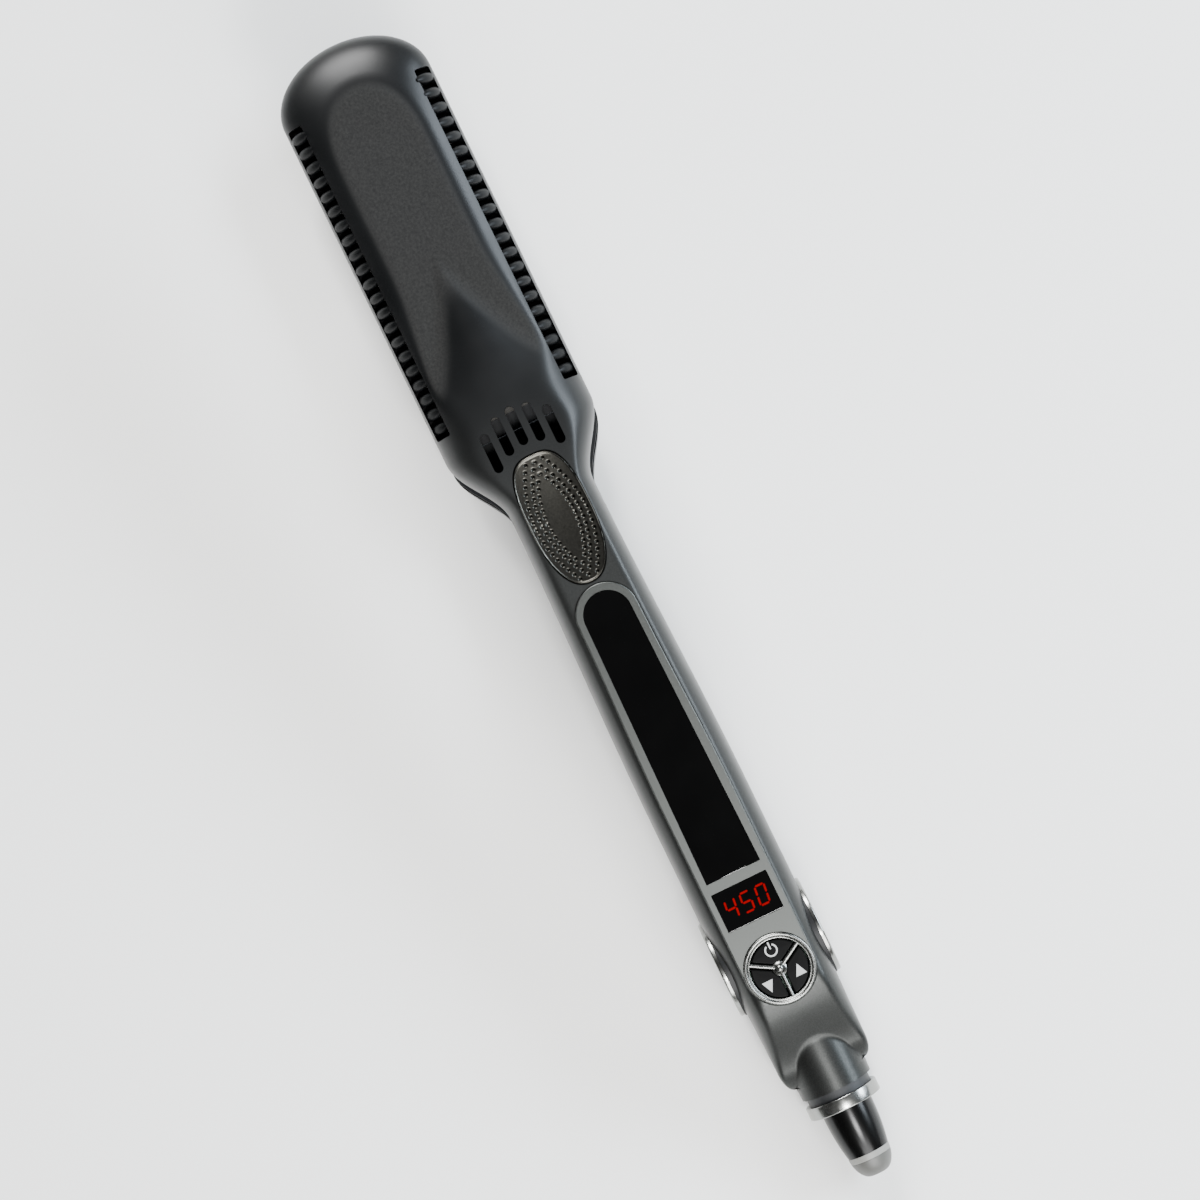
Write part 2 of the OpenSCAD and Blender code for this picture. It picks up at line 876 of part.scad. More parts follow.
// A bright hinge cap: a domed ring with three spokes and a hub
module hinge_cap(side) {
    face_y = ear_out_y + seat_gap;
    upper_arm()
        translate([hinge_u, side * face_y, 0])
            rotate([-90 * side, 0, 0]) {
                rotate_extrude()
                    polygon(concat(
                        [[cap_r - 2.6, 0], [cap_r, 0]],
                        [for (a = [0 : 15 : 180]) [cap_r - 1.3 + 1.3 * cos(a), 0.3 + 0.9 * sin(a)]]
                    ));
                cylinder(r = 3.6, h = 1.1);
                for (a = [0 : 120 : 359])
                    rotate(a)
                        translate([0, -0.9, 0])
                            cube([cap_r - 1.5, 1.8, 0.9]);
                cylinder(r = cap_r - 1.5, h = 0.35);
            }
}

module hinge_cap_left() {
    color("#c3c4c3")
        hinge_cap(-1);
}

module hinge_cap_right() {
    color("#c3c4c3")
        hinge_cap(1);
}

// ---------- Display, keys and board ----------

module thumb_pad() {
    dish_depth = 0.9;
    rim = 1.5;
    reach = pad_len / 2 - rim;
    color("#7c7a73")
        upper_arm()
            translate([pad_u + pad_len / 2, 0, 0])
                difference() {
                    translate([0, 0, rebate_z])
                        linear_extrude(crown_z - rebate_z + 0.2)
                            polygon(pad_outline(0, pad_len / 2, pad_half_w, 0));
                    translate([0, 20, crown_z + 0.2])
                        rotate([90, 0, 0])
                            linear_extrude(40)
                                polygon(concat(
                                    [[-reach, 1], [-reach, 0]],
                                    [for (k = [-7 : 7]) [reach * k / 8, -dish_depth * (1 - pow(k / 8, 2))]],
                                    [[reach, 0], [reach, 1]]
                                ));
                }
}

module display_bezel() {
    color("#8e908a")
        upper_arm()
            difference() {
                translate([0, 0, rebate_z])
                    linear_extrude(bezel_top_z - rebate_z)
                        bezel_outline(0);
                translate([0, 0, rebate_z - 1])
                    linear_extrude(5) {
                        window_outline(seat_gap);
                        led_outline(seat_gap);
                        translate([key_u, 0])
                            circle(r = ring_r + seat_gap);
                    }
            }
}

module display_window() {
    color("#060606")
        upper_arm()
            translate([0, 0, rebate_z])
                linear_extrude(bezel_top_z - rebate_z - 0.15)
                    window_outline(0);
}

module temperature_window() {
    color("#0b0304")
        upper_arm()
            translate([0, 0, rebate_z])
                linear_extrude(bezel_top_z - rebate_z - 0.15)
                    led_outline(0);
}

// The lit module behind the window, with three seven-bar digits on its face
module led_module() {
    face_z = rebate_z - 0.4;
    color("#c01218")
        upper_arm() {
            translate([led_u + 0.8, -7, board_z + board_t])
                cube([led_len - 1.6, 14, face_z - board_z - board_t]);
            for (digit = [0 : 2])
                for (bar = [0 : 6])
                    if (search(bar, lit_bars[digit]) != [])
                        translate([led_u + led_len / 2, 4.6 * (digit - 1), face_z])
                            seven_bar(bar);
        }
}

// The lit bars of each digit of the readout 450: 0 top, 1 and 2 right, 3 bottom, 4 and 5 left, 6 middle
lit_bars = [[1, 2, 5, 6], [0, 2, 3, 5, 6], [0, 1, 2, 3, 4, 5]];

module seven_bar(bar) {
    high = 2.7;
    wide = 1.5;
    t = 0.7;
    apart = 0.15;
    places = [[-high, 0, 0], [-high / 2, wide, 1], [high / 2, wide, 1], [high, 0, 0],
        [high / 2, -wide, 1], [-high / 2, -wide, 1], [0, 0, 0]];
    place = places[bar];
    size = place[2] == 1 ? [high - t - apart, t] : [t, 2 * wide - t - apart];
    translate([place[0] - size[0] / 2, place[1] - size[1] / 2, -eps])
        cube([size[0], size[1], 0.2]);
}

// Ring, hub and the three spokes that part the keys
module control_ring() {
    foot_z = rebate_z;
    top = bezel_top_z + 0.7;
    color("#bdbdb9")
        upper_arm()
            translate([key_u, 0, 0]) {
                rotate_extrude()
                    polygon(concat(
                        [[ring_r - ring_band, foot_z], [ring_r, foot_z]],
                        [for (a = [0 : 15 : 180])
                            [ring_r - ring_band / 2 + ring_band / 2 * cos(a), top - 0.5 + 0.5 * sin(a)]]
                    ));
                for (a = [0 : 120 : 359])
                    rotate(a)
                        translate([0, -spoke_w / 2, foot_z])
                            cube([ring_r - ring_band / 2, spoke_w, top - 0.4 - foot_z]);
                translate([0, 0, foot_z])
                    cylinder(r = hub_r, h = top - foot_z);
            }
}

// A key: a third of a disc between two spokes, with a flange below and a stem over its switch
module sector_key(turn) {
    top = bezel_top_z + 0.1;
    in_r = ring_r - ring_band - gap;
    upper_arm()
        translate([key_u, 0, 0])
            rotate(turn) {
                intersection() {
                    translate([0, 0, key_low_z])
                        difference() {
                            cylinder(r = in_r, h = top - key_low_z);
                            translate([0, 0, -1])
                                cylinder(r = hub_r + gap, h = 10);
                        }
                    translate([0, 0, key_low_z])
                        linear_extrude(top - key_low_z)
                            sector(in_r * 2.2, (spoke_w / 2 + gap) / sin(60));
                }
                translate([key_mid_r, 0, key_low_z - key_stem_len])
                    cylinder(r = 1, h = 1);
            }
}

// A wedge 120 degrees wide that starts a little way out from the middle
module sector(r, start) {
    polygon([
        [start, 0],
        [start + r * cos(60), r * sin(60)],
        [start + r * 2, r],
        [start + r * 2, -r],
        [start + r * cos(60), -r * sin(60)]
    ]);
}

module power_key() {
    color("#2c2d2d")
        sector_key(180);
}

module down_key() {
    color("#2c2d2d")
        sector_key(-60);
}

module up_key() {
    color("#2c2d2d")
        sector_key(60);
}

module control_board() {
    color("#1f5a36")
        upper_arm()
            difference() {
                translate([board_head_u, -board_half_w, board_z])
                    cube([key_u + 9 - board_head_u, 2 * board_half_w, board_t]);
                translate([screw_us[1], 0, board_z - 1])
                    cylinder(r = post_r + gap, h = board_t + 2);
            }
}

module key_switches() {
    low_z = key_low_z - key_stem_len - key_travel - 0.1;
    color("#1a1a1a")
        upper_arm()
            for (turn = [180, -60, 60])
                translate([key_u, 0, 0])
                    rotate(turn)
                        translate([key_mid_r, 0, 0])
                            rotate(-turn) {
                                translate([-2, -2, board_z + board_t])
                                    cube([4, 4, low_z - 0.4 - board_z - board_t]);
                                translate([0, 0, board_z + board_t])
                                    cylinder(r = 0.9, h = low_z - board_z - board_t);
                            }
}

// ---------- Tail and cord boot ----------

module tail_cover_screws() {
    color("#8f9092")
        upper_arm()
            for (side = [-1, 1])
                translate([tail_screw_u, side * tail_screw_y, -tail_depth + 2.2]) {
                    cylinder(r = screw_r, h = 9);
                    translate([0, 0, -0.6])
                        cylinder(r = 1.2, h = 0.7);
                }
}

module tail_collar() {
    chamfer = 0.4;
    color("#b9bab8")
        upper_arm()
            along_u(boss_u + gap)
                rotate_extrude()
                    polygon([
                        [swivel_bore_r, 0],
                        [collar_r - chamfer, 0],
                        [collar_r, chamfer],
                        [collar_r, collar_w - chamfer],
                        [collar_r - chamfer, collar_w],
                        [swivel_bore_r, collar_w]
                    ]);
}

// The bush fills the boss and the collar and lets the stem turn
module swivel_bush() {
    color("#202122")
        upper_arm()
            along_u(bush_head_u)
                difference() {
                    cylinder(r = swivel_bore_r - 0.02, h = boot_u - gap - bush_head_u);
                    translate([0, 0, -1])
                        cylinder(r = stem_r + run_gap, h = 20);
                }
}

module swivel_stem() {
    flange_t = 2.2;
    color("#303132")
        upper_arm()
            along_u(bush_head_u - flange_t - gap)
                difference() {
                    union() {
                        cylinder(r = stem_r + 2, h = flange_t);
                        cylinder(r = stem_r, h = boot_u - bush_head_u + flange_t + gap);
                    }
                    translate([0, 0, -1])
                        cylinder(r = cord_way_r, h = 40);
                }
}

function boot_curve(t) = boot_r * (1 - 0.17 * pow(t, 2.3));

module swivel_boot() {
    color("#070707")
        upper_arm()
            along_u(boot_u)
                rotate_extrude()
                    polygon(concat(
                        [[cord_way_r, boot_len], [cord_way_r, 0]],
                        [for (k = [0 : 10]) [boot_curve(k / 10), boot_len * k / 10]]
                    ));
}

module boot_tip() {
    start_r = boot_curve(1);
    color("#77787a")
        upper_arm()
            along_u(boot_end_u)
                rotate_extrude()
                    polygon(concat(
                        [[cord_hole_r, boot_tip_len], [cord_hole_r, 0]],
                        [for (k = [0 : 8]) let (t = k / 8)
                            [tip_r + (start_r - tip_r) * pow(1 - pow(t, 2.2), 0.7), boot_tip_len * t]]
                    ));
}

// ---------- The part ----------

lower_shell();
lower_inner_cover();
lower_plate_frame();
lower_vent_left();
lower_vent_right();
lower_cushion_springs();
lower_cover_screws();
hinge_tongue();
hinge_bushes();
opening_spring();
lower_plate();
lower_heater();
lower_plate_carrier();
upper_shell();
upper_inner_cover();
upper_plate_frame();
upper_vent_left();
upper_vent_right();
upper_cushion_springs();
upper_cover_screws();
hinge_yoke();
hinge_pin();
hinge_cap_left();
hinge_cap_right();
tail_cover();
tail_cover_screws();
tail_collar();
swivel_bush();
upper_plate();
upper_heater();
upper_plate_carrier();
thermal_fuse();
thumb_pad();
display_bezel();
display_window();
temperature_window();
led_module();
control_ring();
control_board();
key_switches();
power_key();
down_key();
up_key();
swivel_stem();
swivel_boot();
boot_tip();
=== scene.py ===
"""The looks of a flat hair iron, built around its solids.

The shape functions work in millimetres with the arms closed: u runs from the head tip to the tail,
y is the width and z the height above the plane where the plates meet. seat() then carries a
finished mesh to where its arm lies: the lower arm on its crown, the upper arm sprung open.
"""

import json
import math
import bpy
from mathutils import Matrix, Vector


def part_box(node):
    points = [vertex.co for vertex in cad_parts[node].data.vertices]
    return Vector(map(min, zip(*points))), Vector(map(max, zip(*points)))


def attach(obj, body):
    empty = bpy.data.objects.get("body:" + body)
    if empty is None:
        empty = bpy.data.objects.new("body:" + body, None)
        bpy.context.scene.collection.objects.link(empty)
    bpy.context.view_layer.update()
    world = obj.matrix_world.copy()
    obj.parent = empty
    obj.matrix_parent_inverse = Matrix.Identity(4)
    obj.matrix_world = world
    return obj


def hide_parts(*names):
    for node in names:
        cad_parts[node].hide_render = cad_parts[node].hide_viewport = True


bl_info = {
    "name": "Flat hair iron",
    "version": (1, 0, 0),
    "blender": (4, 5, 0),
    "location": "View3D > Sidebar > Hair iron",
    "description": "Shells, keys, hinge caps and finishes of a flat hair iron with two sprung arms",
    "category": "Add Mesh",
}

import bmesh
import bpy
import numpy as np
from bpy.props import FloatProperty, FloatVectorProperty, IntProperty, PointerProperty
from mathutils import Matrix, Vector

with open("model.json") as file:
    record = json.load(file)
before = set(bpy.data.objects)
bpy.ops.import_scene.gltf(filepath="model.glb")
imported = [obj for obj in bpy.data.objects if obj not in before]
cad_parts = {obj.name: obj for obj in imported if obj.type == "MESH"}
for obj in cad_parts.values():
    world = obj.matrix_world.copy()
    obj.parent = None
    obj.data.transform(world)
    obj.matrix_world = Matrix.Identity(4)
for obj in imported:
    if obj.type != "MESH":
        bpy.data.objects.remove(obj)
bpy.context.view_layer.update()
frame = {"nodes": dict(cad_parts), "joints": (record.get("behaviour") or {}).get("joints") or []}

MM = 0.001

# Fixed sizes, in millimetres
HINGE_CLEAR_R = 14.1
EAR_R = 13.9
EAR_IN_Y = 10.8
PAST_SIDE = 20
SLOT_START = 6.1
SLOT_BOW = 0.95
SLOT_PITCH = 4.55
BEZEL_END_R = 8.6
KEY_WELL_R = 8.6
RING_SEAT_R = 9.62
RING_BAND = 1.6
SHARP_CUT = 0.01

# ---------- Where the arms lie, read from the frame ----------

ARM_JOINT = next(j for j in frame["joints"] if j["name"] == "arm_hinge")
HINGE = Vector(ARM_JOINT["pos_m"])
OPEN_ANGLE = math.radians(max(ARM_JOINT["range_deg"]))
TIP_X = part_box("lower_shell")[0].x
HINGE_U = (HINGE.x - TIP_X) / MM
CROWN_Z = HINGE.z / MM

LOWER = Matrix.Translation((TIP_X, 0, HINGE.z)) @ Matrix.Diagonal((MM, MM, -MM, 1))
UPPER = (
    Matrix.Translation(HINGE)
    @ Matrix.Rotation(OPEN_ANGLE, 4, "Y")
    @ Matrix.Translation((-HINGE_U * MM, 0, 0))
    @ Matrix.Diagonal((MM, MM, MM, 1))
)
ARMS = {"lower": LOWER, "upper": UPPER}


def closed_box(node, arm):
    """Lowest and highest corner of a solid with the arms closed, in millimetres."""
    mesh = frame["nodes"][node].data
    co = np.empty(len(mesh.vertices) * 3)
    mesh.vertices.foreach_get("co", co)
    back = np.array(ARMS[arm].inverted())
    points = co.reshape(-1, 3) @ back[:3, :3].T + back[:3, 3]
    return points.min(0), points.max(0)


# ---------- Sizes and colours that a user would change ----------


def length(name, description, value_mm):
    """A length property: shown in metres, written here in millimetres."""
    return FloatProperty(
        name=name, description=description, default=value_mm * MM, unit="LENGTH", precision=5
    )


def srgb(code):
    """Turns an sRGB hex value such as 8E908A into linear red, green and blue."""
    parts = np.array([int(code[k : k + 2], 16) for k in (0, 2, 4)]) / 255
    return tuple(np.where(parts <= 0.04045, parts / 12.92, ((parts + 0.055) / 1.055) ** 2.4))


def colour(name, description, code):
    """A colour property with its default given as an sRGB hex value."""
    return FloatVectorProperty(
        name=name, description=description, subtype="COLOR", size=3, min=0, max=1, default=srgb(code)
    )


def angle(name, description, degrees):
    """An angle property, written here in degrees."""
    return FloatProperty(name=name, description=description, default=math.radians(degrees), subtype="ANGLE")


def amount(name, description, value):
    """A plain number that is never negative, such as a power in watts."""
    return FloatProperty(name=name, description=description, default=value, min=0)


class IronArmSizes(bpy.types.PropertyGroup):
    """Driving sizes of the two arms."""

    head_half_w: length("Head half width", "Half of the width of the head", 21.5)
    head_len: length("Head length", "From the head tip to the start of the shoulders", 114.5)
    nose_len: length("Nose length", "Length of the rounded nose, seen from above", 15.4)
    nose_rise_len: length("Nose rise", "Length over which the nose reaches its full height", 33.6)
    shoulder_len: length("Shoulder length", "Length of the shoulders that lead into the handle", 20.5)
    plateau_z: length("Plateau height", "Height of the flat top of the head", 13.5)
    plateau_half_w: length("Plateau half width", "Half of the width of the flat top", 12.6)
    neck_half_w: length("Neck half width", "Half of the width of the handle at its neck", 12.3)
    grip_half_w: length("Grip half width", "Half of the width of the handle at its widest", 14.0)
    spine_len: length("Spine length", "Length of the raised spine", 50.9)
    wall: length("Wall", "Thickness of the shells", 2.0)
    skirt_z: length("Shell foot", "Height of the open foot of a shell", 3.0)
    dome_base_z: length("Arch foot", "Height where the arched section starts", 3.6)
    rim_gap: length("Vent gap", "Length of one gap in a side vent row", 1.6)
    rim_gaps: IntProperty(name="Vent gaps", description="Gaps in a side vent row", default=21, min=12, max=26)
    slot_w: length("Slot width", "Width of a slot behind the head", 2.6)
    slot_len: length("Slot length", "Length of a slot behind the head", 11.1)
    pit_d: length("Pit diameter", "Diameter of a pit in the thumb pad", 0.85)
    pit_step: length("Pit spacing", "Distance from pit to pit along a row", 1.95)


class IronTailSizes(bpy.types.PropertyGroup):
    """Driving sizes of the tail and the cord boot."""

    tail_len: length("Tail length", "From the hinge axis to the back of the tail block", 37.5)
    boss_r: length("Boss radius", "Radius of the round boss", 10.0)
    boss_out: length("Boss length", "How far the boss stands out behind the tail block", 3.6)
    tail_fall: length("Tail fall", "How far the crown falls towards the boss", 12.0)
    tail_round: length("Tail rounding", "Length of the rounded corners of the tail block", 6.0)
    tail_depth: length("Tail depth", "Depth of the tail block below the hinge axis", 13.2)


class IronColours(bpy.types.PropertyGroup):
    """Colours of the finishes."""

    black_abs: colour("Black ABS", "Moulded head and vents", "08090A")
    gunmetal: colour("Gunmetal", "Metallic lacquer of the handle and tail", "353635")
    silver: colour("Silver", "Lacquer of the display bezel", "545654")
    pad: colour("Thumb pad", "Metallic lacquer of the thumb pad", "42413D")
    readout: colour("Readout", "Lit bars of the temperature readout", "FF0008")
    floor: colour("Floor", "Plain floor", "F4F4F2")


class IronStage(bpy.types.PropertyGroup):
    """Camera and lights."""

    camera_height: length("Camera height", "Distance of the camera from the upper arm", 1000)
    camera_u: length("Camera place", "Place along the arm that the camera looks at", 164.9)
    camera_lens: FloatProperty(
        name="Focal length", description="Focal length in millimetres", default=112.9, min=20
    )
    camera_turn: angle("Camera turn", "Turn of the arm in the picture", 64.1)
    camera_tilt: angle("Camera tilt", "Lean of the camera towards the head, or the tail below zero", -0.6)
    nose_power: amount("Nose panel", "Power of the panel beyond the nose, in watts", 75)
    tail_power: amount("Tail panel", "Power of the panel beyond the tail, in watts", 60)
    side_power: amount("Side panel", "Power of the panel beside the head, in watts", 24)
    crown_power: amount("Crown light", "Power of the light over the tail, in watts", 8)
    sky: amount("Sky", "Strength of the even light from all around", 0.08)


def in_mm(group):
    """The lengths of a property group in millimetres, and its other values as they are."""
    values = {}
    for name, prop in group.bl_rna.properties.items():
        if name in ("rna_type", "name"):
            continue
        value = getattr(group, name)
        values[name] = value / MM if prop.unit == "LENGTH" else value
    return values


class Sizes:
    """All sizes in millimetres, with the stations along the arms that follow from them."""

    def __init__(self, scene):
        self.__dict__.update(in_mm(scene.iron_arm))
        self.__dict__.update(in_mm(scene.iron_tail))
        self.hinge_u = HINGE_U
        self.crown_z = CROWN_Z
        self.neck_u = self.head_len + self.shoulder_len
        self.spine_u = self.head_len - self.spine_len
        self.tail_u = self.hinge_u + self.tail_len
        self.boss_u = self.tail_u + self.boss_out
        self.tail_fall_u = self.hinge_u + 10
        self.narrow_u = self.hinge_u - 19.5
        self.grip_u = self.neck_u + 0.67 * (self.hinge_u - self.neck_u)
        self.tail_half_w = self.grip_half_w - 1.1
        self.head_dome_h = (self.plateau_z - self.dome_base_z) / math.sqrt(
            1 - (self.plateau_half_w / self.head_half_w) ** 2
        )
        self.handle_dome_h = self.crown_z - self.dome_base_z + 2


# ---------- Shape functions of the arms ----------


def ease(t):
    """Smooth step: 3 t squared minus 2 t cubed, held at 0 and 1 outside."""
    c = np.clip(t, 0, 1)
    return c * c * (3 - 2 * c)


def soft_min(a, b, k):
    """The smaller of two heights, with the corner between them rounded over k."""
    h = np.maximum(k - np.abs(a - b), 0) / k
    return np.minimum(a, b) - h * h * k / 4


def soft_max(a, b, k):
    """The larger of two heights, with the corner between them rounded over k."""
    return -soft_min(-a, -b, k)


def quarter(t):
    """Quarter circle: the square root of 1 minus t squared."""
    return np.sqrt(np.maximum(0, 1 - t * t))


def half_w(g, u, inset=0.0):
    """Half width at u: an ellipse at the nose, then smooth steps, then quarter ellipses at the tail."""
    nose = (g.head_half_w - inset) * quarter(np.clip((g.nose_len - u) / (g.nose_len - inset), 0, 1))
    to_neck = ease((u - g.head_len) / g.shoulder_len)
    shoulder = g.head_half_w - inset + (g.neck_half_w - g.head_half_w) * to_neck
    to_grip = ease((u - g.neck_u) / (g.grip_u - g.neck_u))
    grip = g.neck_half_w - inset + (g.grip_half_w - g.neck_half_w) * to_grip
    round_u = g.tail_u - g.tail_round
    to_tail = ease((u - g.narrow_u) / (round_u - g.narrow_u))
    narrow = g.grip_half_w - inset + (g.tail_half_w - g.grip_half_w) * to_tail
    corner = quarter(np.clip((u - round_u) / g.tail_round, 0, 1))
    tail = g.boss_r - inset + (g.tail_half_w - g.boss_r) * corner
    places = [u < g.nose_len, u < g.neck_u, u < g.narrow_u, u < round_u]
    return np.select(places, [nose, shoulder, grip, narrow], tail)


def nose_rise(g, u, inset=0.0):
    """Share of the full height over the nose: a quarter ellipse."""
    return quarter(np.clip((g.nose_rise_len - u) / (g.nose_rise_len - inset), 0, 1))


def fall(g, u):
    """How far the tail block has fallen below the crown: a smooth step."""
    return g.tail_fall * ease((u - g.tail_fall_u) / (g.tail_u - g.tail_fall_u))


def spine(g, u, y):
    """Height of the raised spine: a squared cosine across, on a ridge that widens with the run."""
    run = np.maximum(0, u - g.spine_u)
    half = 0.1 + 0.51 * run * (1 + (run / 45) ** 6)
    crest = np.sin(np.pi / 2 * np.minimum(1, run / (g.spine_len - 2.5))) ** 1.2
    return (g.crown_z - g.plateau_z) * crest * np.cos(np.pi / 2 * np.minimum(1, np.abs(y) / half)) ** 2


def arch(g, u, s, inset=0.0):
    """Arched section at share s of the half width: an ellipse on the head, squarer on the handle."""
    n = 2 + ease((u - g.head_len + 10) / (g.shoulder_len + 10))
    to_handle = ease((u - g.spine_u) / g.spine_len)
    dome = g.head_dome_h + (g.handle_dome_h - g.head_dome_h) * to_handle - fall(g, u)
    rise = np.maximum(0, 1 - np.abs(s) ** n) ** (1 / n)
    return g.dome_base_z + (dome - inset) * nose_rise(g, u, inset) * rise


def top_cap(g, u, y, inset=0.0):
    """The surface that cuts the arch off: the plateau with the spine on it, falling at the tail."""
    return g.plateau_z + spine(g, u, y) - fall(g, u) - inset


def boss_z(y, r):
    """Height of the round boss over y."""
    return np.sqrt(np.maximum(0, r * r - y * y))


def top_z(g, u, s, inset=0.0):
    """Outer height of an arm: the arch cut by the cap, joined to the round boss at the tail."""
    y = half_w(g, u, inset) * s
    body = soft_min(arch(g, u, s, inset), top_cap(g, u, y, inset), 1.0)
    round_u = g.tail_u - g.tail_round
    end = quarter(np.clip((u - round_u) / g.tail_round, 0, 1))
    tail = soft_max(body * end, boss_z(y, g.boss_r - inset), 0.7)
    return np.where(u > g.tail_fall_u + 4, tail, body)


# ---------- Mesh building ----------


def grid_quads(rows, cols, start=0):
    """Quads of a grid of rows by cols points, numbered row by row."""
    a = start + np.arange(rows - 1)[:, None] * cols + np.arange(cols - 1)[None, :]
    return np.stack([a, a + 1, a + cols + 1, a + cols], -1).reshape(-1, 4)


def ring_quads(rings, around, start=0):
    """Quads between closed rings of points."""
    k = np.arange(around)
    following = (k + 1) % around
    a = start + np.arange(rings - 1)[:, None] * around
    return np.stack([a + k, a + following, a + around + following, a + around + k], -1).reshape(-1, 4)


def mesh_object(name, points, faces, merge=1e-4):
    """A mesh object in closed-arm millimetres. Its doubles are merged, then all faces turned outwards."""
    mesh = bpy.data.meshes.new(name)
    mesh.from_pydata(np.asarray(points).tolist(), [], [list(map(int, f)) for f in faces])
    work = bmesh.new()
    work.from_mesh(mesh)
    if merge:
        bmesh.ops.remove_doubles(work, verts=work.verts, dist=merge)
        bmesh.ops.dissolve_degenerate(work, edges=work.edges, dist=merge / 2)
    bmesh.ops.recalc_face_normals(work, faces=work.faces)
    work.to_mesh(mesh)
    work.free()
    obj = bpy.data.objects.new(name, mesh)
    bpy.context.scene.collection.objects.link(obj)
    return obj


def slab(name, top, low, merge=1e-4):
    """Closed solid between two grids of points of the same shape, joined along all four sides."""
    rows, cols = top.shape[:2]
    n = rows * cols
    index = np.arange(n).reshape(rows, cols)
    edge = np.concatenate([index[0, :], index[1:, -1], index[-1, -2::-1], index[-2:0:-1, 0]])
    following = np.roll(edge, -1)
    sides = np.stack([edge, following, following + n, edge + n], -1)
    faces = np.concatenate([grid_quads(rows, cols), grid_quads(rows, cols, n)[:, ::-1], sides])
    return mesh_object(name, np.concatenate([top.reshape(-1, 3), low.reshape(-1, 3)]), faces, merge)


def lathe(name, profile, around=96):
    """Profile of (radius, height) points turned about Z. It closes on itself or on the axis."""
    r, z = np.array(profile, float).T
    a = np.linspace(0, 2 * np.pi, around, endpoint=False)
    height = np.repeat(z[:, None], around, 1)
    points = np.stack([r[:, None] * np.cos(a), r[:, None] * np.sin(a), height], -1)
    return mesh_object(name, points.reshape(-1, 3), ring_quads(len(r), around))


def arc_points(centre_r, centre_z, radius, start, end, steps):
    """Points of (radius, height) on an arc, angles in degrees."""
    a = np.radians(np.linspace(start, end, steps + 1))
    return [(centre_r + radius * c, centre_z + radius * s) for c, s in zip(np.cos(a), np.sin(a))]


def inward(outline, distance):
    """Outline moved inwards along the mean normal of its two edges, for small distances."""
    following = np.roll(outline, -1, 0) - outline
    before = outline - np.roll(outline, 1, 0)
    tangents = following / np.linalg.norm(following, axis=1)[:, None]
    tangents = tangents + before / np.linalg.norm(before, axis=1)[:, None]
    tangents /= np.maximum(1e-9, np.linalg.norm(tangents, axis=1))[:, None]
    return outline + distance * np.stack([-tangents[:, 1], tangents[:, 0]], -1)


def polar(r, a, x=0.0, y=0.0):
    """Points at radius r and angles a round the centre x, y."""
    return np.stack([x + r * np.cos(a), y + r * np.sin(a)], -1)


def spun(points, degrees):
    """Points turned about the middle."""
    a = math.radians(degrees)
    return points @ np.array([[math.cos(a), math.sin(a)], [-math.sin(a), math.cos(a)]])


def prism(name, outline, low_z, high_z, edge_r, steps=4, dome=0.0):
    """Solid on a counter-clockwise outline, its top edge rounded by a quarter circle of edge_r."""
    outline = np.asarray(outline, float)
    turn = np.linspace(0, np.pi / 2, steps + 1)
    rings = [(outline, low_z)]
    for a in turn:
        rings.append((inward(outline, edge_r * (1 - math.cos(a))), high_z - edge_r * (1 - math.sin(a))))
    # A narrow flat ring inside the rounding keeps the shading of the top face flat
    rings.append((inward(outline, edge_r * 1.3 + 0.03), high_z))
    n = len(outline)
    points = np.concatenate([np.column_stack([o, np.full(n, z)]) for o, z in rings])
    faces = ring_quads(len(rings), n).tolist()
    last = (len(rings) - 1) * n
    if dome:
        centre = points[last:].mean(0)
        caps = []
        for k in (0.75, 0.5, 0.25):
            inner = centre + (points[last:last + n] - centre) * [k, k, 1]
            inner[:, 2] = high_z + dome * (1 - k * k)
            caps.append(inner)
        points = np.concatenate([points, *caps])
        faces += (ring_quads(4, n) + last).tolist()
        last += 3 * n
    faces += [list(range(last, last + n)), list(range(n - 1, -1, -1))]
    return mesh_object(name, points, faces)


def cutter(outline, low_z, high_z):
    """Plain sharp-edged solid that is cut out of another."""
    return prism("cutter", outline, low_z, high_z, SHARP_CUT, 1)


def tube(name, path, radius, around=12):
    """Round bar along straight or gently bent points, closed at both ends."""
    path = np.asarray(path, float)
    along = np.gradient(path, axis=0)
    along /= np.linalg.norm(along, axis=1)[:, None]
    aside = np.cross(along, [0.0, 0.0, 1.0])
    aside /= np.linalg.norm(aside, axis=1)[:, None]
    over = np.cross(aside, along)
    a = np.linspace(0, 2 * np.pi, around, endpoint=False)
    ring = np.cos(a)[None, :, None] * aside[:, None, :] + np.sin(a)[None, :, None] * over[:, None, :]
    points = (path[:, None, :] + radius * ring).reshape(-1, 3)
    last = (len(path) - 1) * around
    faces = ring_quads(len(path), around).tolist()
    faces += [list(range(around)), list(range(last, last + around))]
    return mesh_object(name, points, faces)


def join(name, objects):
    """One object from several closed ones, each kept as its own closed part of the mesh."""
    work = bmesh.new()
    for obj in objects:
        work.from_mesh(obj.data)
        bpy.data.objects.remove(obj)
    mesh = bpy.data.meshes.new(name)
    work.to_mesh(mesh)
    work.free()
    result = bpy.data.objects.new(name, mesh)
    bpy.context.scene.collection.objects.link(result)
    return result


def cut_out(obj, others):
    """Cuts the other closed objects out of obj and removes them."""
    for other in others:
        change = obj.modifiers.new("cut", "BOOLEAN")
        change.operation = "DIFFERENCE"
        change.solver = "EXACT"
        change.object = other
    bpy.context.view_layer.update()
    shaped = obj.evaluated_get(bpy.context.evaluated_depsgraph_get())
    mesh = bpy.data.meshes.new_from_object(shaped)
    obj.modifiers.clear()
    obj.data = mesh
    for other in others:
        bpy.data.objects.remove(other)


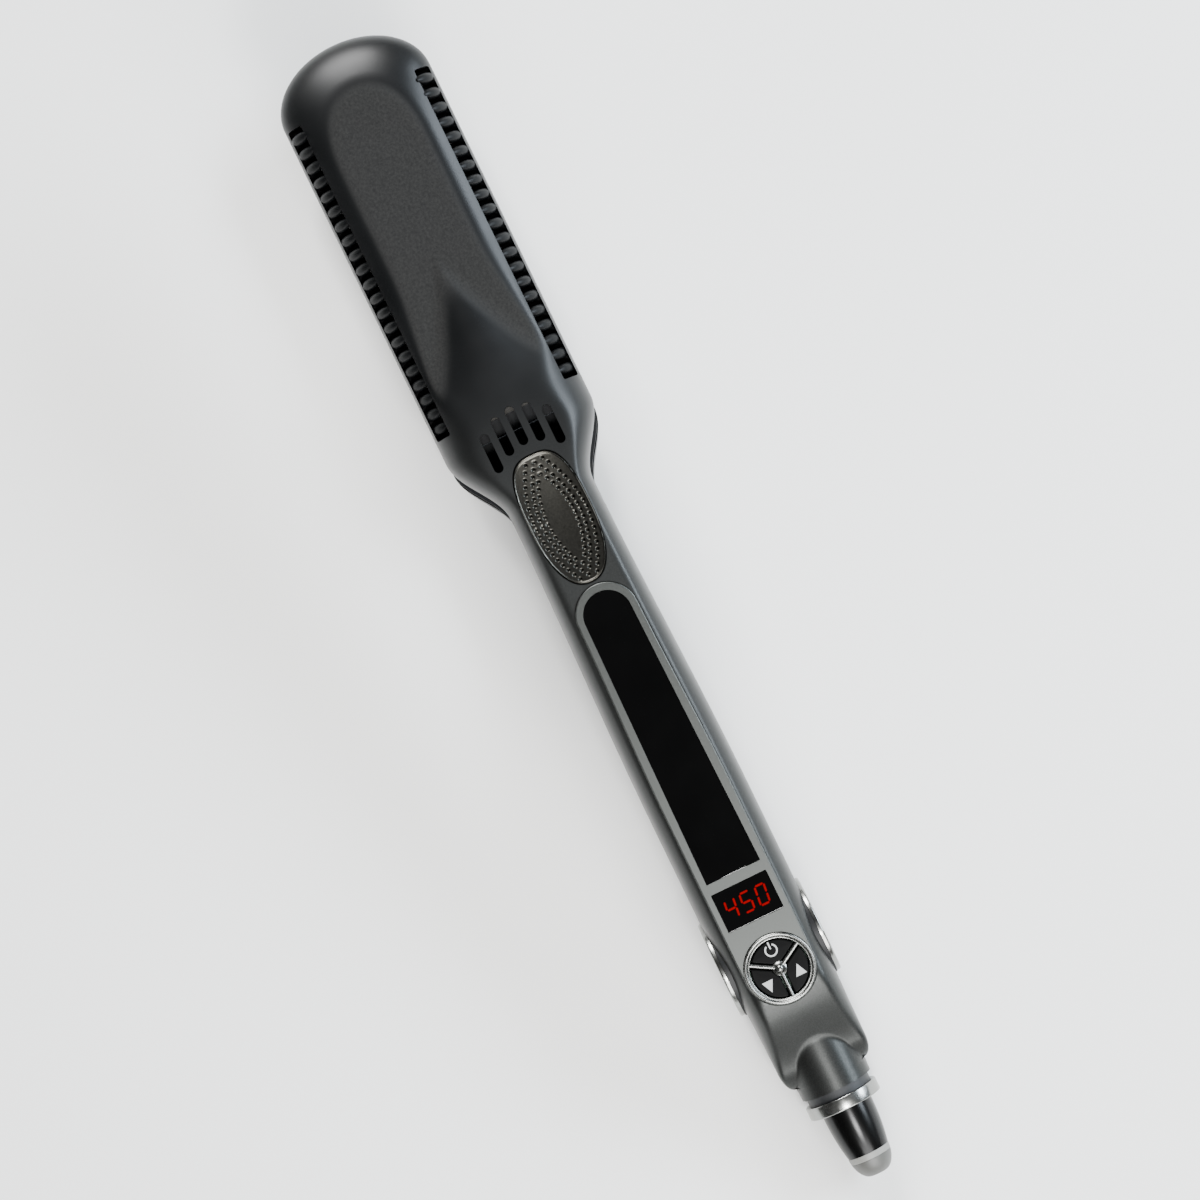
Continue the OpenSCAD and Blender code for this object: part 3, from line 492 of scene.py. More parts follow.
def seat(obj, arm, body, material, replaces=(), sharp=35, turn=None):
    """Carries a finished mesh to its arm, shades it, gives it its material and lets it ride."""
    if turn is not None:
        obj.data.transform(turn)
    place = ARMS[arm]
    obj.data.transform(place)
    if place.determinant() < 0:
        obj.data.flip_normals()
    obj.data.shade_smooth()
    obj.data.set_sharp_from_angle(angle=math.radians(sharp))
    obj.data.materials.clear()
    obj.data.materials.append(material)
    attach(obj, body)
    if replaces:
        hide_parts(*replaces)


def lying(u):
    """Turns a shape drawn along Z to lie along the arm, starting at u."""
    return Matrix.Translation((u, 0, 0)) @ Matrix.Rotation(math.pi / 2, 4, "Y")


# ---------- Materials ----------


def add(tree, kind, inputs=None, **settings):
    """Adds a node with its settings. An input given as a socket is linked, any other value is set."""
    node = tree.nodes.new(kind)
    for name, value in settings.items():
        setattr(node, name, value)
    for name, value in (inputs or {}).items():
        socket = node.inputs[name]
        if isinstance(value, bpy.types.NodeSocket):
            tree.links.new(value, socket)
        else:
            socket.default_value = value
    return node


def new_material(name, **shader):
    """A material with one Principled shader whose plain values sit on its own sockets."""
    made = bpy.data.materials.new(name)
    made.use_nodes = True
    tree = made.node_tree
    tree.nodes.clear()
    bsdf = add(tree, "ShaderNodeBsdfPrincipled")
    for key, value in shader.items():
        label = key.replace("_", " ").title().replace("Ior", "IOR")
        bsdf.inputs[label].default_value = (*value, 1) if isinstance(value, tuple) else value
    out = add(tree, "ShaderNodeOutputMaterial", {"Surface": bsdf.outputs[0]})
    out.target = "ALL"
    coords = add(tree, "ShaderNodeTexCoord")
    return made, tree, bsdf, coords.outputs["Object"]


def grain(tree, coords, size_mm, detail=2.0, **more):
    """Noise whose grains are about size_mm across."""
    settings = {"Vector": coords, "Scale": 1 / (size_mm * MM), "Detail": detail, **more}
    return add(tree, "ShaderNodeTexNoise", settings)


def spread(tree, value, low, high):
    """Maps noise, which stays near its middle, onto the range low to high."""
    settings = {"Value": value, "From Min": 0.3, "From Max": 0.7, "To Min": low, "To Max": high}
    return add(tree, "ShaderNodeMapRange", settings).outputs["Result"]


def tint(tree, base, factor, low, high):
    """A colour made darker and lighter by a factor that runs from low to high."""
    node = add(tree, "ShaderNodeMix", data_type="RGBA", clamp_factor=False)
    node.inputs["Factor"].default_value = 0
    tree.links.new(factor, node.inputs["Factor"])
    node.inputs["A"].default_value = (*[c * low for c in base], 1)
    node.inputs["B"].default_value = (*[c * high for c in base], 1)
    return node.outputs["Result"]


def bump(tree, bsdf, height, strength, depth_mm):
    """Bump of a real depth on a shader."""
    node = add(tree, "ShaderNodeBump", {"Height": height, "Strength": strength, "Distance": depth_mm * MM})
    tree.links.new(node.outputs["Normal"], bsdf.inputs["Normal"])


def moulded(name, base, roughness, size_mm=0.25, depth_mm=0.01, vary=0.12, **shader):
    """Moulded plastic or rubber: fine spark-eroded grain and slightly uneven gloss."""
    made, tree, bsdf, coords = new_material(name, base_color=base, **shader)
    fine = grain(tree, coords, size_mm).outputs["Fac"]
    broad = grain(tree, coords, 14, 3.0).outputs["Fac"]
    tree.links.new(tint(tree, base, spread(tree, broad, 0, 1), 1 - vary, 1 + vary), bsdf.inputs["Base Color"])
    tree.links.new(spread(tree, broad, roughness * 0.9, min(1, roughness * 1.12)), bsdf.inputs["Roughness"])
    bump(tree, bsdf, fine, 0.5, depth_mm)
    return made


def metal(name, base, roughness, line_mm=(0.3, 0.3, 0.3), depth_mm=0.003, vary=0.06):
    """Bare or plated metal. line_mm stretches the grain along the way it was brushed."""
    made, tree, bsdf, coords = new_material(name, base_color=base, metallic=1.0)
    sizes = tuple(1 / (s * MM) for s in line_mm)
    mapped = add(tree, "ShaderNodeMapping", {"Vector": coords, "Scale": sizes}).outputs["Vector"]
    lines = add(tree, "ShaderNodeTexNoise", {"Vector": mapped, "Scale": 1.0, "Detail": 3.0}).outputs["Fac"]
    tree.links.new(tint(tree, base, spread(tree, lines, 0, 1), 1 - vary, 1 + vary), bsdf.inputs["Base Color"])
    tree.links.new(spread(tree, lines, roughness * 0.85, roughness * 1.15), bsdf.inputs["Roughness"])
    bump(tree, bsdf, lines, 0.4, depth_mm)
    return made


def shell_lacquer(name, black, gunmetal):
    """Moulded ABS under satin lacquer. It grades from black on the head to gunmetal flake towards the
    tail, and the flat top of the head is stippled, which breaks up its gloss."""
    made, tree, bsdf, coords = new_material(name, specular_ior_level=0.3)
    lacquer = add(tree, "ShaderNodeAttribute", attribute_name="lacquer").outputs["Fac"]
    stipple = add(tree, "ShaderNodeAttribute", attribute_name="stipple").outputs["Fac"]
    # Flake and stipple are drawn at 0.3 and 0.7 mm, coarser than real, so that they show
    flake = grain(tree, coords, 0.3).outputs["Fac"]
    speck = grain(tree, coords, 0.7, 3.0, Roughness=0.7).outputs["Fac"]
    broad = grain(tree, coords, 18, 2.0).outputs["Fac"]
    dark = tint(tree, black, spread(tree, broad, 0, 1), 0.88, 1.12)
    stippled = tint(tree, srgb("0F0F0E"), spread(tree, speck, 0, 1), 0.15, 2.2)
    light = tint(tree, gunmetal, spread(tree, flake, 0, 1), 0.8, 1.2)
    head = add(tree, "ShaderNodeMix", {"Factor": stipple}, data_type="RGBA")
    tree.links.new(dark, head.inputs["A"])
    tree.links.new(stippled, head.inputs["B"])
    whole = add(tree, "ShaderNodeMix", {"Factor": lacquer}, data_type="RGBA")
    tree.links.new(head.outputs["Result"], whole.inputs["A"])
    tree.links.new(light, whole.inputs["B"])
    tree.links.new(whole.outputs["Result"], bsdf.inputs["Base Color"])
    metallic = add(tree, "ShaderNodeMath", operation="MULTIPLY")
    tree.links.new(lacquer, metallic.inputs[0])
    metallic.inputs[1].default_value = 0.85
    tree.links.new(metallic.outputs[0], bsdf.inputs["Metallic"])
    satin = spread(tree, broad, 0.36, 0.42)
    rough = add(tree, "ShaderNodeMix", {"Factor": stipple, "B": 0.75}, data_type="FLOAT")
    tree.links.new(satin, rough.inputs["A"])
    tree.links.new(rough.outputs["Result"], bsdf.inputs["Roughness"])
    deep = add(tree, "ShaderNodeMath", operation="MULTIPLY")
    tree.links.new(speck, deep.inputs[0])
    tree.links.new(stipple, deep.inputs[1])
    height = add(tree, "ShaderNodeMath", operation="MULTIPLY_ADD")
    tree.links.new(flake, height.inputs[0])
    height.inputs[1].default_value = 0.12
    tree.links.new(deep.outputs[0], height.inputs[2])
    bump(tree, bsdf, height.outputs[0], 0.5, 0.06)
    return made


def pad_lacquer(name, base):
    """Satin metallic lacquer over ABS, with painted shade in the pits: their colour is darkened to near
    black, so they read as dark dots.
    """
    made = metal(name, base, 0.33, vary=0.1)
    tree = made.node_tree
    bsdf = tree.nodes["Principled BSDF"]
    lacquer = bsdf.inputs["Base Color"].links[0].from_socket
    # Painted shade: the pits' mask darkens the colour in the pits to near black
    pit = add(tree, "ShaderNodeAttribute", attribute_name="pit").outputs["Fac"]
    mix = add(tree, "ShaderNodeMix", {"Factor": pit}, data_type="RGBA")
    tree.links.new(lacquer, mix.inputs["A"])
    mix.inputs["B"].default_value = (*[c * 0.06 for c in base], 1)
    tree.links.new(mix.outputs["Result"], bsdf.inputs["Base Color"])
    return made


def lit_bar(name, base):
    """Red LED behind smoked acrylic: it glows, a little unevenly along each bar."""
    smoked = tuple(c * 0.1 for c in base)
    made, tree, bsdf, coords = new_material(name, base_color=smoked, roughness=0.4, specular_ior_level=0.0)
    patch = grain(tree, coords, 0.8).outputs["Fac"]
    tree.links.new(tint(tree, base, spread(tree, patch, 0, 1), 0.75, 1.1), bsdf.inputs["Emission Color"])
    bsdf.inputs["Emission Strength"].default_value = 0.2
    return made


MATERIALS = {}


def make_materials(scene):
    """Every finish of the iron, each named for what the real one is made of."""
    c = scene.iron_colours
    black, gunmetal = tuple(c.black_abs), tuple(c.gunmetal)
    MATERIALS.update(
        shell=shell_lacquer("Satin lacquered ABS", black, gunmetal),
        # Spark-eroded mould finish: a dull black with a soft sheen on its ribs
        vent=moulded("Moulded ABS vents", black, 0.4, 0.3, 0.008, specular_ior_level=0.14),
        # Heat-proof resin with short glass fibres: slightly mottled and matt
        resin=moulded("Glass-filled PPS", srgb("1E1F21"), 0.55, 0.35, 0.02, 0.2),
        cover=moulded("Moulded PBT cover", srgb("101112"), 0.5, 0.4, 0.02, specular_ior_level=0.3),
        pad=pad_lacquer("Metallic lacquer pad", tuple(c.pad)),
        bezel=metal("Satin silver lacquer", tuple(c.silver), 0.42, (0.25, 0.25, 0.25), 0.003, 0.07),
        # Clear acrylic over black ink: deep black with a hard gloss
        window=moulded(
            "Gloss acrylic window", srgb("040404"), 0.06, 2.0, 0.0005, 0.2, specular_ior_level=0.35
        ),
        led=lit_bar("Red LED bars", tuple(c.readout)),
        chrome=metal("Chrome plating", srgb("8E8F8C"), 0.24, (1.5, 1.5, 1.5), 0.001, 0.03),
        satin_chrome=metal("Satin chrome plating", srgb("858683"), 0.28, (0.4, 0.4, 0.4), 0.002, 0.05),
        key=moulded("Silicone rubber keys", srgb("060606"), 0.45, 0.2, 0.008, specular_ior_level=0.06),
        ink=moulded("Pad-printed ink", srgb("A9AAA8"), 0.5, 0.1, 0.002, 0.06),
        boot=moulded("Gloss ABS boot", srgb("040404"), 0.24, 1.5, 0.0008, 0.1, specular_ior_level=0.25),
        # A pale band painted as the light rim reflection on the gloss black boot
        band=moulded("Pale elastomer band", srgb("7C7C78"), 0.45, 0.3, 0.006, 0.05),
        tip=moulded("Grey elastomer tip", srgb("4E4E4B"), 0.42, 0.3, 0.02, 0.1),
        plate=metal("Titanium-coated plate", srgb("9FA0A0"), 0.24, (9.0, 0.16, 0.16), 0.002, 0.08),
        carrier=moulded("Glass-filled carrier", srgb("4A4844"), 0.6, 0.4, 0.02, 0.2),
        heater=moulded("Polyimide film", srgb("A8702A"), 0.3, 1.0, 0.01, 0.1),
        spring=metal("Drawn spring wire", srgb("9A9C9E"), 0.3, (0.4, 0.4, 0.4), 0.004),
        screw=metal("Zinc-plated steel", srgb("8E9094"), 0.32, (0.6, 0.6, 0.6), 0.004, 0.1),
        pin=metal("Ground steel", srgb("A4A6A8"), 0.2, (0.15, 4.0, 0.15), 0.002),
        brass=metal("Turned brass", srgb("B5914C"), 0.28, (0.15, 4.0, 0.15), 0.003),
        fuse=moulded("Glazed ceramic fuse", srgb("D8D0BE"), 0.25, 0.8, 0.004),
        board=moulded("Solder mask", srgb("1F5A36"), 0.35, 1.2, 0.01, 0.2),
        switch=moulded("Moulded nylon switch", srgb("141414"), 0.5, 0.3, 0.01),
    )


# ---------- Outlines ----------


def pad_outline(mid, half_len, half, a):
    """Superellipse: exponent 3 at the head end and 2.3 at the tail end."""
    power = np.where(np.cos(a) < 0, 2 / 3, 2 / 2.3)
    x = mid + half_len * np.sign(np.cos(a)) * np.abs(np.cos(a)) ** power
    return np.stack([x, half * np.sign(np.sin(a)) * np.abs(np.sin(a)) ** power], -1)


def rounded_rectangle(x0, x1, half, corner, steps=8):
    """Counter-clockwise rectangle with quarter-circle corners, centred on y = 0."""
    corners = ((x1 - corner, half - corner, 0), (x0 + corner, half - corner, 90))
    corners += ((x0 + corner, corner - half, 180), (x1 - corner, corner - half, 270))
    points = []
    for x, y, start in corners:
        a = np.radians(np.linspace(start, start + 90, steps + 1))
        points.append(polar(corner, a, x, y))
    return np.concatenate(points)


def circle_outline(x, y, r, steps=72):
    """Counter-clockwise circle."""
    return polar(r, np.linspace(0, 2 * np.pi, steps, endpoint=False), x, y)


# ---------- Shells ----------


def arm_stations(g, last_u):
    """Places of the rings: close together at the nose, the shoulders and the tail."""
    nose = g.nose_len * (1 - np.cos(np.linspace(0, np.pi / 2, 41)))
    head = np.linspace(g.nose_len, g.head_len, 113)[1:]
    shoulder = np.linspace(g.head_len, g.neck_u, 33)[1:]
    grip = np.linspace(g.neck_u, min(last_u, g.tail_fall_u), 101)[1:]
    tail = np.linspace(g.tail_fall_u, last_u, 73)[1:] if last_u > g.tail_fall_u + 1 else grip[:0]
    return np.concatenate([nose, head, shoulder, grip, tail])


def arm_skin(name, g, last_u, boss=False):
    """Shell of an arm: the outer surface and the same surface moved in by the wall, joined along the
    open foot and closed by a wall at the back end."""
    blend = 6
    outer_u = arm_stations(g, last_u)
    end_u = last_u - g.wall
    inner_u = np.where(outer_u < g.nose_len, g.wall + outer_u * (1 - g.wall / g.nose_len), outer_u)
    back_u = outer_u + (end_u - last_u) * ease((outer_u - last_u + blend) / blend)
    inner_u = np.where(outer_u > last_u - blend, back_u, inner_u)
    if boss:
        out_u = np.linspace(last_u, g.boss_u, 6)[1:]
        outer_u = np.concatenate([outer_u, out_u])
        inner_u = np.concatenate([inner_u, np.full(5, inner_u[-1])])
    sheets = []
    for u, inset, cols in ((outer_u, 0.0, 96), (inner_u, g.wall, 28)):
        s = np.sin(np.linspace(-np.pi / 2, np.pi / 2, cols + 1))[None, :]
        grid_u = np.repeat(u[:, None], cols + 1, 1)
        w = half_w(g, grid_u, inset)
        z = top_z(g, grid_u, s, inset)
        foot = np.where(u < g.hinge_u, g.skirt_z, 0.0)
        z = np.maximum(z, foot[:, None])
        arch_grid = np.stack([grid_u, w * s, z], -1)
        left = np.stack([u, -w[:, 0], foot], -1)[:, None]
        right = np.stack([u, w[:, 0], foot], -1)[:, None]
        sheets.append(np.concatenate([left, arch_grid, right], 1))
    outer, inner = sheets
    rows = len(outer_u)
    n_outer, n_inner = outer.shape[1], inner.shape[1]
    start = rows * n_outer
    faces = [grid_quads(rows, n_outer), grid_quads(rows, n_inner, start)[:, ::-1]]
    k = np.arange(rows - 1)
    for outer_col, inner_col in ((0, 0), (n_outer - 1, n_inner - 1)):
        a, b = k * n_outer + outer_col, start + k * n_inner + inner_col
        faces.append(np.stack([a, a + n_outer, b + n_inner, b], -1))
    faces = [f for group in faces for f in group.tolist()]
    outer_end = list(range((rows - 1) * n_outer, rows * n_outer))
    inner_end = list(range(start + (rows - 1) * n_inner, start + rows * n_inner))
    faces += [outer_end, inner_end[::-1]]
    return mesh_object(name, np.concatenate([outer.reshape(-1, 3), inner.reshape(-1, 3)]), faces)


def disc_cutter(g, r, low_y, high_y):
    """Cylinder about the hinge axis between two widths."""
    made = lathe("cutter", [(0, low_y), (r, low_y), (r, high_y), (0, high_y)], 128)
    made.data.transform(Matrix.Translation((g.hinge_u, 0, 0)) @ Matrix.Rotation(-math.pi / 2, 4, "X"))
    return made


def slot_cutters(g):
    """The five slots behind the head, set back a little more towards the sides."""
    made = []
    r = g.slot_w / 2
    for row in range(-2, 3):
        u = g.head_len - SLOT_START + SLOT_BOW * row * row
        shape = rounded_rectangle(u, u + g.slot_len, r, r * 0.999, 10)
        made.append(cutter(shape + [0, SLOT_PITCH * row], g.skirt_z + 0.6, g.crown_z + 4))
    return made


def rim_span(g):
    """Low and high y, and first and last u, of a side vent row."""
    return g.head_half_w - 4.7, g.head_half_w - 0.7, 16.4, g.head_len - 6.2


def rim_cutters(g):
    """The long openings that hold the vent strips."""
    low, high, first, last = rim_span(g)
    half = (high - low) / 2
    shape = rounded_rectangle(first, last, half, 0.5, 4)
    return [cutter(shape + [0, side * (low + half)], g.skirt_z - 1, g.crown_z) for side in (-1, 1)]


def mark_finish(obj, g):
    """Writes where the skin is stippled and how far it has graded to gunmetal, from its own shape."""
    co = np.empty(len(obj.data.vertices) * 3)
    obj.data.vertices.foreach_get("co", co)
    u, y = co.reshape(-1, 3)[:, :2].T
    s = np.clip(y / np.maximum(half_w(g, u), 0.01), -1, 1)
    flat = arch(g, u, s) - top_cap(g, u, y)
    raised = spine(g, u, y)
    stipple = ease(flat + 0.35) * (1 - ease((raised - 0.05) / 1.5)) * (u < g.head_len)
    lacquer = ease((u - g.head_len + 22) / 75) * 0.72 + 0.28 * ease((u - g.narrow_u) / 30)
    for name, value in (("stipple", stipple), ("lacquer", lacquer)):
        layer = obj.data.attributes.new(name, "FLOAT", "POINT")
        layer.data.foreach_set("value", value.astype(np.float32))


def panel_cutters(g):
    """The seats of the thumb pad and the display bezel, and the well of the keys."""
    seam = 0.16
    floor = g.crown_z - 1.35
    pad_low, pad_high = closed_box("thumb_pad", "upper")
    a = np.linspace(0, 2 * np.pi, 120, endpoint=False)
    half_len, half = (pad_high[0] - pad_low[0]) / 2, pad_high[1]
    pad = pad_outline((pad_low[0] + pad_high[0]) / 2, half_len + seam, half + seam, a)
    above = g.crown_z + 3
    well = circle_outline(key_u(), 0, KEY_WELL_R, 64)
    return [
        cutter(pad, floor, above),
        cutter(bezel_outline(seam), floor, above),
        cutter(well, 10.0, floor + 0.5),
    ]


def key_u():
    """Where the middle of the key ring lies along the arm."""
    low, high = closed_box("control_ring", "upper")
    return (low[0] + high[0]) / 2


def bezel_outline(grow=0.0):
    """Round end at the head, sides that widen slowly, and an arc round the key ring."""
    start_u = closed_box("display_bezel", "upper")[0][0]
    window_end = closed_box("temperature_window", "upper")[0][0]
    ring_u, ring_r = key_u(), 9.85 + grow
    a = np.linspace(np.pi, np.pi * 0.56, 30)
    nose = polar(BEZEL_END_R + grow, a, start_u + BEZEL_END_R)
    u = np.linspace(start_u + 9.5, ring_u - 1.5, 60)
    side_y = 8.55 + 1.3 * ease((u - start_u - 6) / (window_end - start_u - 30)) + grow
    side = np.stack([u, np.minimum(side_y, ring_r)], -1)
    b = np.linspace(np.radians(92), 0, 30)
    end = polar(ring_r, b, ring_u)
    upper_half = np.concatenate([nose, side, end])
    lower_half = upper_half[1:-1] * [1, -1]
    return np.concatenate([lower_half, upper_half[::-1]])


class IRON_OT_shells(bpy.types.Operator):
    """Make the upper and lower shells and the tail cover"""

    bl_idname = "iron.shells"
    bl_label = "Shells"

    def execute(self, context):
        g = Sizes(context.scene)
        lower = arm_skin("lower_shell_skin", g, g.hinge_u + 1)
        all_through = disc_cutter(g, HINGE_CLEAR_R, -PAST_SIDE, PAST_SIDE)
        low_cut = cutter(rounded_rectangle(g.hinge_u - 13.8, g.hinge_u + 6, 12, 0.5, 2), 0, 15.5)
        cut_out(lower, [all_through, low_cut, *slot_cutters(g), *rim_cutters(g)])
        mark_finish(lower, g)
        seat(lower, "lower", "lower_arm", MATERIALS["shell"], ["lower_shell"])

        upper = arm_skin("upper_shell_skin", g, g.tail_u, boss=True)
        ears = [
            disc_cutter(g, EAR_R, *sorted((side * EAR_IN_Y, side * PAST_SIDE))) for side in (-1, 1)
        ]
        cut_out(upper, [*ears, *slot_cutters(g), *rim_cutters(g), *panel_cutters(g)])
        mark_finish(upper, g)
        seat(upper, "upper", "upper_arm", MATERIALS["shell"], ["upper_shell"])

        cover = self.tail_cover(g)
        cut_out(cover, [disc_cutter(g, HINGE_CLEAR_R, -PAST_SIDE, PAST_SIDE)])
        mark_finish(cover, g)
        seat(cover, "upper", "upper_arm", MATERIALS["shell"], ["tail_cover"])
        return {"FINISHED"}

    def tail_cover(self, g):
        """Underside of the tail: a rounded arch whose depth eases to that of the boss."""
        rows = 81
        squareness = 2.6
        sheets = []
        for inset, start, cols in ((0.0, g.hinge_u + 6, 72), (g.wall, g.hinge_u + 5, 36)):
            u = np.linspace(start, g.boss_u, rows)[:, None]
            s = np.sin(np.linspace(-np.pi / 2, np.pi / 2, cols + 1))[None, :]
            w = half_w(g, u, inset) * np.ones_like(s)
            shallower = (g.tail_depth - g.boss_r - 0.4) * ease((u - g.hinge_u) / g.tail_len)
            depth = g.tail_depth - inset - shallower
            body = depth * np.maximum(0, 1 - np.abs(s) ** squareness) ** (1 / squareness)
            end = quarter(np.clip((u - g.tail_u + g.tail_round) / g.tail_round, 0, 1))
            z = soft_max(body * end, boss_z(w * s, g.boss_r - inset), 0.7)
            z[:, [0, -1]] = 0
            sheets.append(np.stack([u * np.ones_like(s), w * s, -z], -1))
        outer, inner = sheets
        cols_out, cols_in = outer.shape[1], inner.shape[1]
        start = outer.shape[0] * cols_out
        faces = grid_quads(rows, cols_out).tolist() + grid_quads(rows, cols_in, start)[:, ::-1].tolist()
        k = np.arange(rows - 1)
        for a_col, b_col in ((0, 0), (cols_out - 1, cols_in - 1)):
            a, b = k * cols_out + a_col, start + k * cols_in + b_col
            faces += np.stack([a, a + cols_out, b + cols_in, b], -1).tolist()
        for row in (0, rows - 1):
            first, second = row * cols_out, start + row * cols_in
            back = list(range(second + cols_in - 1, second - 1, -1))
            faces.append(list(range(first, first + cols_out)) + back)
        points = np.concatenate([outer.reshape(-1, 3), inner.reshape(-1, 3)])
        return mesh_object("tail_cover_skin", points, faces)


class IRON_OT_vents(bpy.types.Operator):
    """Make the four side vent strips with their lens-shaped ribs"""

    bl_idname = "iron.vents"
    bl_label = "Side vents"

    def execute(self, context):
        g = Sizes(context.scene)
        for arm in ("lower", "upper"):
            for side, word in ((-1, "left"), (1, "right")):
                strip = self.strip(g, side, f"{arm}_vent_ribs_{word}")
                seat(strip, arm, f"{arm}_arm", MATERIALS["vent"], [f"{arm}_vent_{word}"], 60)
        return {"FINISHED"}

    def strip(self, g, side, name):
        """A rail, and one rib between every two gaps. A rib is a lens seen from above, with a round back."""
        low, high, first, last = rim_span(g)
        low, high = low - 0.25, high + 0.05
        pitch = (last - first - g.rim_gap) / g.rim_gaps
        rib_half = (pitch - g.rim_gap) / 2 + 0.1
        across = np.linspace(-1, 1, 11)[None, :]
        round_a = np.linspace(-np.pi / 2, np.pi / 2, 9)[:, None]
        y = (low + high) / 2 + (high - low) / 2 * across
        lens = rib_half * (0.62 + 0.38 * quarter(across))
        arch_y = g.dome_base_z + g.head_dome_h * quarter(y / g.head_half_w)
        back = np.cos(round_a)
        z = arch_y - 1.6 + 1.5 * back + 0.2 * (1 - across**2) * back
        parts = []
        for k in range(g.rim_gaps):
            centre = first + g.rim_gap + rib_half - 0.1 + k * pitch
            u = centre + lens * np.sin(round_a)
            top = np.stack([u, side * y * np.ones_like(u), z], -1)
            foot = top.copy()
            foot[..., 2] = g.skirt_z + 0.4
            parts.append(slab("rib", top, foot))
        rail = rounded_rectangle(first + 0.1, last - 0.1, (high - low) / 2 - 0.2, 0.3, 2)
        rail = rail + [0, side * (low + high) / 2]
        parts.append(prism("rail", rail, g.skirt_z, g.skirt_z + 1.6, 0.2, 2))
        return join(name, parts)


class IRON_OT_thumb_pad(bpy.types.Operator):
    """Make the dished thumb pad with its rows of pits"""

    bl_idname = "iron.thumb_pad"
    bl_label = "Thumb pad"

    def execute(self, context):
        g = Sizes(context.scene)
        low, high = closed_box("thumb_pad", "upper")
        mid, half_len, half = (low[0] + high[0]) / 2, (high[0] - low[0]) / 2, high[1]
        # Square grid pressed into a disc, then stretched to the outline
        p, q = np.meshgrid(np.linspace(-1, 1, 261), np.linspace(-1, 1, 131), indexing="ij")
        x, y = p * np.sqrt(1 - q * q / 2), q * np.sqrt(1 - p * p / 2)
        r, a = np.hypot(x, y), np.arctan2(y, x)
        edge = pad_outline(0, half_len, half, a)
        u, v = edge[..., 0] * r, edge[..., 1] * r
        bead = 0.18 * np.exp(-(((r - 0.972) / 0.014) ** 2))
        z = g.crown_z - 0.1 - 0.95 * (1 - r**2) ** 1.2 + bead - 0.25 * ease((r - 0.975) / 0.025)
        pits = self.pit_places(g, half_len, half)
        nearest = np.full(u.shape, 9.0)
        for pit_u, pit_v in pits:
            nearest = np.minimum(nearest, np.hypot(u - pit_u, v - pit_v))
        hollow = np.exp(-((nearest / (g.pit_d * 0.5)) ** 4))
        z -= 0.38 * hollow
        top = np.stack([mid + u, v, z], -1)
        foot = top.copy()
        foot[..., 2] = low[2]
        pad = slab("thumb_pad_dish", top, foot, merge=0)
        # The pits' mask, which the pad's material uses to paint shade into the pits
        shade = np.concatenate([hollow.ravel(), np.zeros(hollow.size)])
        layer = pad.data.attributes.new("pit", "FLOAT", "POINT")
        layer.data.foreach_set("value", shade.astype(np.float32))
        seat(pad, "upper", "upper_arm", MATERIALS["pad"], ["thumb_pad"], 70)
        return {"FINISHED"}

    def pit_places(self, g, half_len, half):
        """Three nested rows on each side, bowed as parabolas: y = reach (1 - (u / run) squared)."""
        places = []
        for reach, run in ((3.97, 13.86), (5.56, 16.5), (7.37, 20.4)):
            u = np.linspace(-run, run, 400)
            y = reach * (1 - (u / run) ** 2)
            along = np.concatenate([[0], np.cumsum(np.hypot(np.diff(u), np.diff(y)))])
            marks = np.arange(along[-1] / 2 % g.pit_step, along[-1], g.pit_step)
            for pit_u, pit_y in zip(np.interp(marks, along, u), np.interp(marks, along, y)):
                inside = math.hypot(pit_u / (half_len - 1.1), pit_y / (half - 0.9)) < 1 or abs(pit_u) < 9
                if inside and pit_y < half - 1.0:
                    places += [(pit_u, pit_y), (pit_u, -pit_y)] if pit_y > 0.55 else [(pit_u, 0.0)]
        return places


